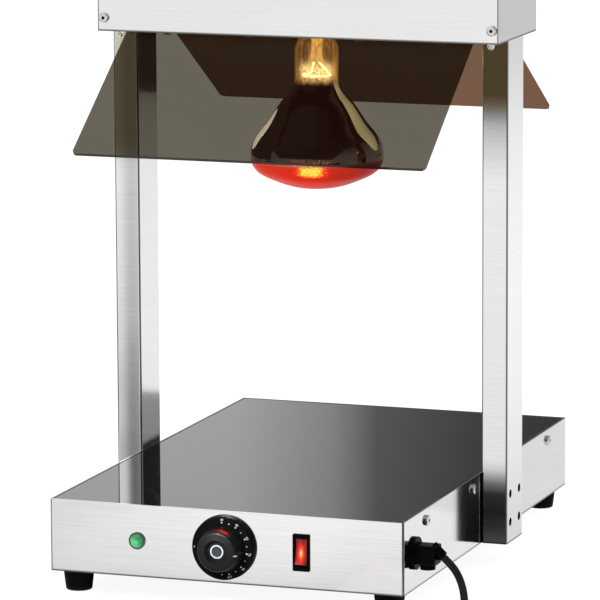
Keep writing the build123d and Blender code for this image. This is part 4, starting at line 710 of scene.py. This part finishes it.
def grow(name, tree, shape, material, sizes):
    whole = shape.node("GeometryNodeRealizeInstances", {}, {"Geometry": shape})
    coated = whole.node("GeometryNodeSetMaterial", {}, {"Geometry": whole, "Material": material})
    tree.links.new(coated.socket, tree.nodes.new("NodeGroupOutput").inputs["Geometry"])
    maker = bpy.data.objects.new(name + "_maker", bpy.data.meshes.new(name + "_maker"))
    scene.collection.objects.link(maker)
    step = maker.modifiers.new("recipe", "NODES")
    step.node_group = tree
    for item in tree.interface.items_tree:
        if item.in_out == "INPUT":
            step[item.identifier] = sizes[item.name]
    made = maker.evaluated_get(bpy.context.evaluated_depsgraph_get())
    piece = bpy.data.objects.new(name, bpy.data.meshes.new_from_object(made))
    bpy.data.objects.remove(maker)
    scene.collection.objects.link(piece)
    return piece


dot_sizes = {
    "Dots": 12,
    "Ring": 24.0 * mm,
    "Step": scale_step,
    "Large": 0.72 * mm,
    "Small": 0.5 * mm,
    "Film": print_film,
    "Face": dial_face,
    "Height": control_height,
}
dot_tree, dot = recipe("dial_dots", dot_sizes)
row = dot["Dots"].node("GeometryNodeMeshLine", {}, {"Count": dot["Dots"]})
dot_number = row.node("GeometryNodeInputIndex", {}, {})
dot_angle = pi / 2 - dot["Step"] * dot_number
across = dot["Ring"] * dot_angle.sum("COSINE", dot_angle)
above = dot["Ring"] * dot_angle.sum("SINE", dot_angle) + dot["Height"]
dot_place = row.node("ShaderNodeCombineXYZ", {}, {"X": across, "Y": dot["Face"], "Z": above})
placed = row.node("GeometryNodeSetPosition", {}, {"Geometry": row, "Position": dot_place})
odd = dot_number.sum("MODULO", dot_number, 2)
dot_scale = 1 + odd * (dot["Small"] / dot["Large"] - 1)
spot = row.node("GeometryNodeMeshCylinder", {}, {
    "Vertices": 20,
    "Radius": dot["Large"],
    "Depth": dot["Film"],
})
dot_size = row.node("ShaderNodeCombineXYZ", {}, {"X": dot_scale, "Y": dot_scale, "Z": 1.0})
dots = row.node("GeometryNodeInstanceOnPoints", {}, {
    "Points": placed,
    "Instance": spot,
    "Rotation": (pi / 2, 0.0, 0.0),
    "Scale": dot_size,
})
dial_dots = grow("dial_dots", dot_tree, dots, print_white, dot_sizes)
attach(dial_dots, "gantry")


def lettering(name, words, height, place):
    text = bpy.data.curves.new(name, "FONT")
    text.body = words
    text.size = height
    text.align_x = "CENTER"
    text.align_y = "CENTER"
    text.extrude = print_film / 2
    text.resolution_u = 3
    holder = bpy.data.objects.new(name + "_text", text)
    scene.collection.objects.link(holder)
    shaped = holder.evaluated_get(bpy.context.evaluated_depsgraph_get())
    mesh = bpy.data.meshes.new_from_object(shaped)
    bpy.data.objects.remove(holder)
    mesh.transform(place)
    mesh.materials.clear()
    mesh.materials.append(print_white)
    piece = bpy.data.objects.new(name, mesh)
    scene.collection.objects.link(piece)
    return piece


label_ring, label_size = 26.5 * mm, 3.0 * mm
stand_up = Matrix.Rotation(pi / 2, 4, "X")
for number, words in enumerate(("30", "45", "60", "75", "90", "110")):
    angle = pi / 2 - 2 * number * scale_step
    label_rise = control_height + label_ring * sin(angle)
    label_place = Matrix.Translation((label_ring * cos(angle), dial_face, label_rise))
    turned = Matrix.Rotation(pi / 2 - angle, 4, "Y")
    label = lettering("dial_label_" + words, words, label_size, label_place @ turned @ stand_up)
    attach(label, "gantry")
off_ring, off_size = 26.6 * mm, 2.6 * mm
off_place = Matrix.Translation((-off_ring, dial_face, control_height))
off_mark = lettering("dial_off_mark", "0", off_size, off_place @ stand_up)
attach(off_mark, "gantry")

pointer_angle = -8.2
pointer_half = 0.55 * mm
pointer_proud, pointer_root = 0.12 * mm, -0.3 * mm
pointer_run = [(-267.9, 17.1), (-266.6, 18.7), (-264.6, 19.3)]
pointer_rows = []
for depth, reach in pointer_run:
    for lift in (pointer_proud, pointer_root):
        for side in (-pointer_half, pointer_half):
            pointer_rows.append((reach * mm + lift, depth * mm, side))
pointer_faces = []
for step in range(len(pointer_run) - 1):
    a, b = 4 * step, 4 * step + 4
    pointer_faces += [(a, a + 1, b + 1, b), (a + 2, b + 2, b + 3, a + 3)]
    pointer_faces += [(a, b, b + 2, a + 2), (a + 1, a + 3, b + 3, b + 1)]
last = 4 * len(pointer_run) - 4
pointer_faces += [(0, 2, 3, 1), (last, last + 1, last + 3, last + 2)]
pointer_mesh = bpy.data.meshes.new("knob_pointer")
pointer_mesh.from_pydata(pointer_rows, [], pointer_faces)
pointer_turn = Matrix.Rotation(radians(-pointer_angle), 4, "Y")
pointer_mesh.transform(Matrix.Translation((0.0, 0.0, control_height)) @ pointer_turn)
pointer_mesh.materials.append(print_white)
knob_pointer = bpy.data.objects.new("knob_pointer", pointer_mesh)
scene.collection.objects.link(knob_pointer)
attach(knob_pointer, "knob")


# Pilot lamp
# A green lens with a faceted dome, pushed through the front wall into its black body. A small
# neon behind it glows through the plastic, brightest low on the left.
pilot_across = -84.6 * mm
lens, lens_place = new_finish("pilot_green")
lens_local = lens_place.move((pilot_across, 0.0, control_height))
lens_reach = lens_local.reach((1.0, 0.0, 1.0))
lens_cut = lens_local.cells(330.0).part("X")
dome_edge = (5.6 * mm, 6.9 * mm)
lens_dome = 1 - lens_reach.band(*dome_edge)
neon_place = (-2.0 * mm, 0.0, -1.6 * mm)
neon_spread = 7 * mm
lens_spot = 1 - lens_local.move(neon_place).reach((1.0, 0.0, 1.0)).band(0.0, neon_spread)
lens_glow = lens_dome * (lens_cut * 0.5 + lens_spot * 0.8)
set_shader(lens, {
    "Base Color": lens_dome.tint((0.004, 0.03, 0.012, 1), (0.02, 0.2, 0.07, 1)),
    "Roughness": 0.12 + lens_cut * 0.08,
    "Coat Weight": 0.4,
    "Emission Color": lens_glow.ramp(
        (0.0, (0.0, 0.012, 0.004)),
        (0.5, (0.008, 0.16, 0.05)),
        (1.0, (0.09, 0.5, 0.2)),
    ),
    "Emission Strength": 1.0,
    "Normal": lens_cut.bump(0.3, 0.5 * mm),
})
put_on(lens, "pilot_lens")
put_on(satin_black, "pilot_body")


# On and off switch
# A rocker of clear red plastic with a neon inside, snapped into a black bezel. It rests with
# its top pressed in, switched on, so the neon shows as a bright patch in the middle.
switch_across = 73.4 * mm
rocker, rocker_place = new_finish("rocker_red")
neon_left, neon_drop = 0.3 * mm, 1.0 * mm
rocker_local = rocker_place.move((switch_across - neon_left, 0.0, control_height - neon_drop))
neon_half = 5.2 * mm
heat = 1 - rocker_local.reach((1.0, 0.0, 0.42)).band(0.0, neon_half)
rocker_fold = rocker_local.grain((420.0, 300.0, 90.0), 2.0)
set_shader(rocker, {
    "Base Color": rocker_fold.ramp((0.3, (0.16, 0.004, 0.004)), (0.7, (0.34, 0.01, 0.008))),
    "Roughness": 0.14 + rocker_fold * 0.1,
    "Specular IOR Level": 0.25,
    "Emission Color": (heat * (0.8 + rocker_fold * 0.4)).ramp(
        (0.0, (0.05, 0.0, 0.0)),
        (0.4, (0.55, 0.012, 0.008)),
        (0.72, (0.85, 0.07, 0.02)),
        (1.0, (1.0, 0.62, 0.22)),
    ),
    "Emission Strength": 1.1,
})
put_on(rocker, "switch_rocker")
put_on(satin_black, "switch_housing")


# Terminal block and inner lead
# A white ceramic block on the bottom plate joins the supply lead to the inside wiring. The
# lead comes in through the gland and drops to the block in one easy bend.
ceramic, ceramic_place = new_finish("white_ceramic")
glaze = ceramic_place.grain((200.0, 200.0, 200.0), 3.0)
set_shader(ceramic, {
    "Base Color": glaze.ramp((0.3, (0.7, 0.69, 0.65)), (0.7, (0.82, 0.81, 0.78))),
    "Roughness": 0.3 + glaze * 0.2,
    "Normal": glaze.bump(0.1, 0.2 * mm),
})
put_on(ceramic, "terminal_block")

cord_black, cord_place = new_finish("cord_black")
cord_skin = cord_place.grain((700.0, 700.0, 700.0), 3.0)
cord_haze = cord_place.grain((60.0, 60.0, 60.0), 3.0)
set_shader(cord_black, {
    "Base Color": cord_haze.ramp((0.3, (0.004, 0.004, 0.004)), (0.7, (0.01, 0.01, 0.01))),
    "Roughness": 0.38 + cord_haze * 0.16,
    "Specular IOR Level": 0.16,
    "Normal": cord_skin.bump(0.15, 0.12 * mm),
})


def laid_cable(name, points, width, material):
    line = bpy.data.curves.new(name, "CURVE")
    line.dimensions = "3D"
    run = line.splines.new("NURBS")
    run.points.add(len(points) - 1)
    for point, place in zip(run.points, points):
        point.co = (*[size * mm for size in place], 1.0)
    run.order_u = 3
    run.use_endpoint_u = True
    line.resolution_u = 6
    line.bevel_depth = width / 2
    line.bevel_resolution = 5
    line.use_fill_caps = True
    line.materials.append(material)
    cable = bpy.data.objects.new(name, line)
    scene.collection.objects.link(cable)
    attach(cable, "gantry")
    return cable


cord_width = 7.0 * mm
inner_lead = laid_cable("inner_lead", [
    (158.5, -214.0, 53.5),
    (137.0, -214.0, 53.5),
    (115.5, -190.0, 31.7),
    (94.0, -190.0, 31.7),
], cord_width, cord_black)
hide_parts("supply_lead")


# Gland, supply cord and plug
# A nylon angle gland clamps the 7 mm cord on the right wall. The cord drops to the table and
# runs forward, and the rest of its 1.45 m is wound and tied, with the moulded plug beside it.
put_on(satin_black, "cord_gland", "gland_locknut")

cord_points = [
    (197.0, -214.0, 51.5),
    (204.7, -214.0, 45.0),
    (212.1, -215.5, 35.5),
    (217.5, -219.9, 25.0),
    (221.6, -228.2, 15.3),
    (225.0, -240.5, 8.0),
    (226.6, -255.6, 5.1),
    (226.6, -270.7, 5.1),
    (225.8, -285.9, 5.1),
    (225.8, -299.0, 5.1),
]
coil_middle = Vector((173.8, -308.0))
coil_low, coil_high = 5.1, 12.7
coil_pitch = 7.6
coil_outer = 52.0
climb_pinch = 1.9
per_turn = 16
lower_steps = int(2.5 * per_turn)
climb_steps = per_turn // 2
upper_steps = 2 * per_turn
for step in range(lower_steps + climb_steps + upper_steps + 1):
    angle = 2 * pi * step / per_turn
    climb = min(max((step - lower_steps) / climb_steps, 0.0), 1.0)
    reach = coil_outer - coil_pitch * min(step, lower_steps) / per_turn
    reach += coil_pitch * max(step - lower_steps - climb_steps, 0) / per_turn
    reach -= climb_pinch * sin(pi * climb)
    across = coil_middle.x + reach * cos(angle)
    back = coil_middle.y - reach * sin(angle)
    cord_points.append((across, back, coil_low + (coil_high - coil_low) * climb))
cord_points += [
    (222.0, -315.0, 12.7),
    (222.0, -323.0, 13.6),
    (222.0, -332.0, 18.2),
    (222.0, -341.0, 19.1),
    (222.0, -349.0, 19.1),
]
supply_cord = laid_cable("supply_cord", cord_points, cord_width, cord_black)
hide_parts("power_cord", "cord_coil")

tie_low, tie_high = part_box("cord_tie")
strap = 1.0 * mm
tie_sizes = {
    "Depth": tie_high[1] - tie_low[1] - strap,
    "Height": tie_high[2] - tie_low[2] - strap,
    "Width": tie_high[0] - tie_low[0],
    "Strap": strap,
    "Corner": 4.0 * mm,
}


def rounded_box(width, height, corner, steps):
    sockets = {"Width": width, "Height": height}
    box = width.node("GeometryNodeCurvePrimitiveQuadrilateral", {}, sockets)
    sockets = {"Curve": box, "Radius": corner, "Count": steps}
    return box.node("GeometryNodeFilletCurve", {"mode": "POLY"}, sockets)


tie_tree, tie = recipe("tie_strap", tie_sizes)
loop = rounded_box(tie["Height"], tie["Depth"], tie["Corner"], 6)
profile = rounded_box(tie["Strap"], tie["Width"], 0.3 * mm, 3)
wound = loop.node("GeometryNodeCurveToMesh", {}, {"Curve": loop, "Profile Curve": profile})
tie_weave, tie_place = new_finish("tie_weave")
weave = tie_place.waves("X", 330.0, 1.5)
set_shader(tie_weave, {
    "Base Color": weave.tint((0.008, 0.008, 0.008, 1), (0.03, 0.03, 0.03, 1)),
    "Roughness": 0.75 + weave * 0.15,
    "Normal": weave.bump(0.4, 0.2 * mm),
})
cord_strap = grow("cord_strap", tie_tree, wound, tie_weave, tie_sizes)
tie_middle = (Vector(tie_low) + Vector(tie_high)) / 2
cord_strap.data.transform(Matrix.Translation(tie_middle) @ Matrix.Rotation(pi / 2, 4, "Y"))
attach(cord_strap, "gantry")
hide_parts("cord_tie")


def turned_piece(name, outline, place, material, around=48, crease=38):
    rows = []
    faces = []
    starts = []
    for reach, along in outline:
        on_axis = reach == 0
        starts.append((len(rows), on_axis))
        for step in range(1 if on_axis else around):
            angle = 2 * pi * step / around
            rows.append((reach * cos(angle), reach * sin(angle), along))
    for (low, low_pole), (high, high_pole) in zip(starts, starts[1:]):
        for step in range(around):
            after = (step + 1) % around
            if low_pole:
                faces.append((low, high + after, high + step))
            elif high_pole:
                faces.append((low + step, low + after, high))
            else:
                faces.append((low + step, low + after, high + after, high + step))
    mesh = bpy.data.meshes.new(name)
    mesh.from_pydata(rows, [], faces)
    mesh.transform(place)
    mesh.materials.append(material)
    mesh.shade_smooth()
    mesh.set_sharp_from_angle(angle=radians(crease))
    piece = bpy.data.objects.new(name, mesh)
    scene.collection.objects.link(piece)
    return piece


plug_rubber = black_rubber("plug_rubber", dust=0.1)
plug_start = Vector((222.0, -349.0, 19.1)) * mm
plug_outline = [(0.0, 0.0), (4.7, 0.0), (5.0, 0.4)]
sleeve_reach, sleeve_swell, sleeve_length = 5.0, 2.5, 24.0
first_ridge, ridge_pitch, ridge_middle, groove = 1.5, 4.2, 1.4, 0.6
for ridge in range(5):
    ridge_start = first_ridge + ridge_pitch * ridge
    swell = sleeve_reach + sleeve_swell * (ridge_start + ridge_middle) / sleeve_length
    plug_outline += [(swell - groove, ridge_start), (swell, ridge_start + 0.5)]
    plug_outline += [(swell + 0.1, ridge_start + 2.3), (swell - groove, ridge_start + 2.8)]
plug_outline += [(7.3, 24.0), (9.6, 25.2), (12.3, 28.6), (12.7, 31.0), (12.4, 38.0), (12.6, 43.6)]
plug_outline += [(14.6, 45.2), (17.8, 46.2), (18.7, 47.3), (19.0, 49.0), (19.0, 59.4)]
plug_outline += [(18.4, 60.6), (17.4, 61.0), (0.0, 61.0)]
plug_outline = [(reach * mm, along * mm) for reach, along in plug_outline]
plug_place = Matrix.Translation(plug_start) @ Matrix.Rotation(pi / 2, 4, "X")
moulded_plug = turned_piece("moulded_plug", plug_outline, plug_place, plug_rubber)
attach(moulded_plug, "gantry")
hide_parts("plug_body")

rib_sizes = {
    "Ribs": 18,
    "Ring": 12.25 * mm,
    "Length": 11.0 * mm,
    "Rib": 0.75 * mm,
    "Start": 37.0 * mm,
}
rib_tree, rib = recipe("grip_ribs", rib_sizes)
ring_sizes = {"Vertices": rib["Ribs"], "Radius": rib["Ring"]}
rib_ring = rib["Ribs"].node("GeometryNodeMeshCircle", {}, ring_sizes)
lifted = rib_ring.node("ShaderNodeCombineXYZ", {}, {"Z": rib["Start"]})
rib_points = rib_ring.node("GeometryNodeSetPosition", {}, {"Geometry": rib_ring, "Offset": lifted})
ball_sizes = {"Segments": 10, "Rings": 8, "Radius": rib["Rib"]}
bar_length = rib["Length"] / rib["Rib"] / 2
bars = rib_ring.node("GeometryNodeInstanceOnPoints", {}, {
    "Points": rib_points,
    "Instance": rib_ring.node("GeometryNodeMeshUVSphere", {}, ball_sizes),
    "Scale": rib_ring.node("ShaderNodeCombineXYZ", {}, {"X": 1.0, "Y": 1.0, "Z": bar_length}),
})
grip_ribs = grow("grip_ribs", rib_tree, bars, plug_rubber, rib_sizes)
grip_ribs.data.transform(plug_place)
grip_ribs.data.shade_smooth()
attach(grip_ribs, "gantry")

pin_nickel, pin_place = new_finish("pin_nickel")
pin_wear = pin_place.grain((500.0, 120.0, 500.0), 3.0)
set_shader(pin_nickel, {
    "Base Color": pin_wear.ramp((0.3, (0.62, 0.55, 0.38)), (0.7, (0.76, 0.7, 0.56))),
    "Metallic": 1.0,
    "Roughness": 0.2 + pin_wear * 0.15,
})
put_on(pin_nickel, "plug_pins")


# Posts
# Two uprights of 50 by 25 mm stainless tube, brushed across, bolted to the casing's sides from
# within through holes in their outer face. Plastic plugs close their lower ends.
post_steel = brushed_steel(
    "post_steel", shade=0.71, mark=0.042, dull=0.1, lower_edge=foot_height, corner_line=197.0 * mm,
)
put_on(post_steel, "left_post", "right_post")
put_on(satin_black, "post_end_plugs")

silicone_sleeve, sleeve_place = new_finish("silicone_sleeve")
sleeve_skin = sleeve_place.grain((500.0, 500.0, 500.0), 3.0)
set_shader(silicone_sleeve, {
    "Base Color": sleeve_skin.ramp((0.3, (0.01, 0.01, 0.01)), (0.7, (0.02, 0.02, 0.02))),
    "Roughness": 0.5 + sleeve_skin * 0.15,
})
sleeve_width = 6.0 * mm
lamp_lead = laid_cable("lamp_lead", [
    (77.0, -178.0, 31.7),
    (77.0, -118.0, 31.7),
    (77.0, -58.0, 31.7),
    (123.5, 12.0, 51.3),
    (150.0, 12.0, 51.3),
    (170.5, 12.0, 51.3),
    (182.5, 12.0, 51.3),
    (182.5, 12.0, 63.5),
    (182.5, 12.0, 90.0),
    (182.5, 12.0, 520.0),
    (182.5, 12.0, 545.0),
    (182.5, 12.0, 562.0),
    (165.5, 12.0, 562.0),
    (140.0, 12.0, 562.0),
    (25.0, 12.0, 562.0),
    (9.5, 12.0, 562.0),
    (0.0, 12.0, 562.0),
    (0.0, 12.0, 552.5),
    (0.0, 12.0, 541.0),
], sleeve_width, silicone_sleeve)
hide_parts("lamp_cable")


# Head
# A cover folded over two end caps, all of brushed stainless sheet and screwed together with
# button heads front and rear; the tray that closes it below carries the shields and the lamp.
head_low = 493.5 * mm
head_steel = brushed_steel(
    "head_steel", shade=0.76, mark=0.036, dull=0.16, lower_edge=head_low, corner_line=195.0 * mm,
)
put_on(head_steel, "head_cover", "head_end_left", "head_end_right", "head_tray")


# Breath shields
# Two panels of 3 mm smoked acrylic, bent along one line and hung under the tray by their
# flanges, front and rear. They are clear brown-grey through the face and dark at the cut edge.
def smoked_panel(name, tilt, angle, passed):
    material, place = new_finish(name)
    facing = place.node("ShaderNodeTexCoord", {}, {}, "Normal")
    down = (0.0, tilt * cos(radians(angle)), -sin(radians(angle)))
    edge = facing.along(down).band(0.75, 0.95)
    haze = place.grain((14.0, 14.0, 14.0), 4.0)
    solid = 0.04 + haze * 0.03 + edge * 0.9
    set_shader(material, {
        "Base Color": haze.tint((0.008, 0.006, 0.004, 1.0), (0.016, 0.012, 0.008, 1.0)),
        "Roughness": 0.06 + haze * 0.05,
    })
    clear = place.node("ShaderNodeBsdfTransparent", {}, {"Color": (*passed, 1.0)})
    tree = material.node_tree
    sheet = Tone(tree, tree.nodes["Principled BSDF"].outputs[0])
    through = place.node("ShaderNodeMixShader", {}, {0: solid, 1: clear, 2: sheet})
    set_shader(material, {"Surface": through}, "Material Output")
    return material


front_smoke = smoked_panel("front_smoke", tilt=-1, angle=34.5, passed=(0.376, 0.356, 0.314))
# The rear panel passes a browner tint than the front: painted warm lamp light on the same smoked
# acrylic.
rear_smoke = smoked_panel("rear_smoke", tilt=1, angle=31.7, passed=(0.42, 0.306, 0.232))
put_on(front_smoke, "front_shield")
put_on(rear_smoke, "rear_shield")


# Infrared lamp
# A blown reflector bulb: the front is ruby glass, the cone is silvered inside and the neck is
# clear, so the glowing filament shows. The filament's bright image on the dome and in the neck,
# the glints low on the cone, the neck's amber glow and the dome's lighter and darker sides are
# painted into the bulb's emission. Its brass cap screws into a ceramic holder in the head.
lamp_back = 12.0 * mm
lamp_turn = radians(19.5)
ruby, ruby_place = new_finish("ruby_bulb")
ruby_height = ruby_place.part("Z")
from_axis = ruby_place.move((0.0, lamp_back, 0.0))
broad_side = from_axis.along((cos(lamp_turn), sin(lamp_turn), 0.0))
silver_top, silver_foot = (443 * mm, 450 * mm), (371 * mm, 376 * mm)
neck = ruby_height.band(*silver_top)
front = 1 - ruby_height.band(*silver_foot)
ripple = ruby_place.grain((560.0, 560.0, 900.0), 4.0)
dome_width = 100 * mm
# The dome's red glow is lighter on one side and darker on the other: painted light and shade.
red_light = ((broad_side + dome_width / 2) / dome_width).ramp(
    (0.05, (0.6, 0.025, 0.006)),
    (0.5, (0.62, 0.022, 0.006)),
    (0.75, (0.42, 0.018, 0.006)),
    (0.95, (0.28, 0.012, 0.005)),
)
# A bright patch low on the dome, yellow at its heart: a painted reflection of the filament.
glint_left, glint_level = 6 * mm, 368.5 * mm
glint_across = abs(broad_side + glint_left)
glint_height = 1 - abs(ruby_height - glint_level).band(2 * mm, 10 * mm)
painted_filament_glint = glint_height * (1 - glint_across.band(4 * mm, 22 * mm))
filament_glint_light = (painted_filament_glint * 1.3 + ripple * 2 - 1.48).ramp(
    (0.0, (0.66, 0.022, 0.01)),
    (0.3, (0.92, 0.1, 0.012)),
    (0.55, (1.0, 0.42, 0.02)),
    (0.85, (1.0, 0.85, 0.12)),
)
dome_light = painted_filament_glint.band(0.02, 0.3).tint(red_light, filament_glint_light)
# Flecks low on the cone are painted glints; the bright band in the neck is a painted image of the
# filament.
cone_glint_level, filament_image_level = 377 * mm, 455.5 * mm
cone_glint_height = 1 - abs(ruby_height - cone_glint_level).band(1 * mm, 4 * mm)
painted_cone_glints = cone_glint_height * (1 - glint_across.band(14 * mm, 24 * mm)) * ripple.band(0.5, 0.64)
draw_line = ruby_place.grain((420.0, 420.0, 25.0), 3.0)
filament_image_height = 1 - abs(ruby_height - filament_image_level).band(2 * mm, 12 * mm)
painted_filament_image = filament_image_height * (1 - abs(broad_side).band(9 * mm, 20 * mm)) * ripple.band(0.36, 0.58)
# The neck's amber streaks and the cone's dim red are painted glow from the filament.
painted_neck_glow = draw_line.band(0.46, 0.68).tint((0.3, 0.12, 0.025, 1.0), (6.0, 2.7, 0.55, 1.0))
neck_light = painted_filament_image.tint(painted_neck_glow, (13.0, 9.5, 4.2, 1.0))
cone_light = painted_cone_glints.tint((0.06, 0.008, 0.007, 1.0), (4.0, 0.9, 0.12, 1.0))
amber_light = neck.tint(cone_light, neck_light)
set_shader(ruby, {
    "Base Color": front.tint((0.3, 0.26, 0.21, 1.0), (0.1, 0.003, 0.003, 1.0)),
    "Metallic": (1 - neck) * (1 - front),
    "Roughness": 0.05 + ripple * 0.03 + front * 0.35,
    "Specular IOR Level": 0.06,
    "Alpha": 1 - neck * (0.74 - painted_filament_image * 0.3),
    "Emission Color": front.tint(amber_light, dome_light),
    "Emission Strength": 1.0,
})
put_on(ruby, "lamp_bulb")

cap_brass, cap_place = new_finish("cap_brass")
cap_thread = cap_place.waves("Z", 85.0)
set_shader(cap_brass, {
    "Base Color": cap_thread.tint((0.5, 0.36, 0.14, 1), (0.72, 0.55, 0.26, 1)),
    "Metallic": 1.0,
    "Roughness": 0.25 + cap_thread * 0.1,
    "Normal": cap_thread.bump(0.5, 0.8 * mm),
})
put_on(cap_brass, "lamp_cap")
put_on(ceramic, "lamp_holder")

# The stem's emission is a painted glow of the filament's light in its glass.
stem_glass, stem_place = new_finish("stem_glass")
stem_flow = stem_place.grain((160.0, 160.0, 60.0), 2.0)
set_shader(stem_glass, {
    "Base Color": (0.9, 0.8, 0.62, 1.0),
    "Roughness": 0.05 + stem_flow * 0.1,
    "Alpha": 0.35 + stem_flow * 0.2,
    "Emission Color": stem_flow.ramp((0.3, (5.0, 2.6, 0.5)), (0.7, (11.0, 7.0, 2.4))),
    "Emission Strength": 1.0,
})
put_on(stem_glass, "lamp_stem")

tungsten, tungsten_place = new_finish("hot_tungsten")
tungsten_heat = tungsten_place.grain((300.0, 300.0, 300.0), 2.0)
set_shader(tungsten, {
    "Base Color": (0.2, 0.18, 0.15, 1.0),
    "Metallic": 1.0,
    "Roughness": 0.4 + tungsten_heat * 0.1,
    "Emission Color": tungsten_heat.ramp((0.3, (1.0, 0.62, 0.22)), (0.7, (1.0, 0.82, 0.5))),
    "Emission Strength": 40.0,
})
put_on(tungsten, "lamp_filament")
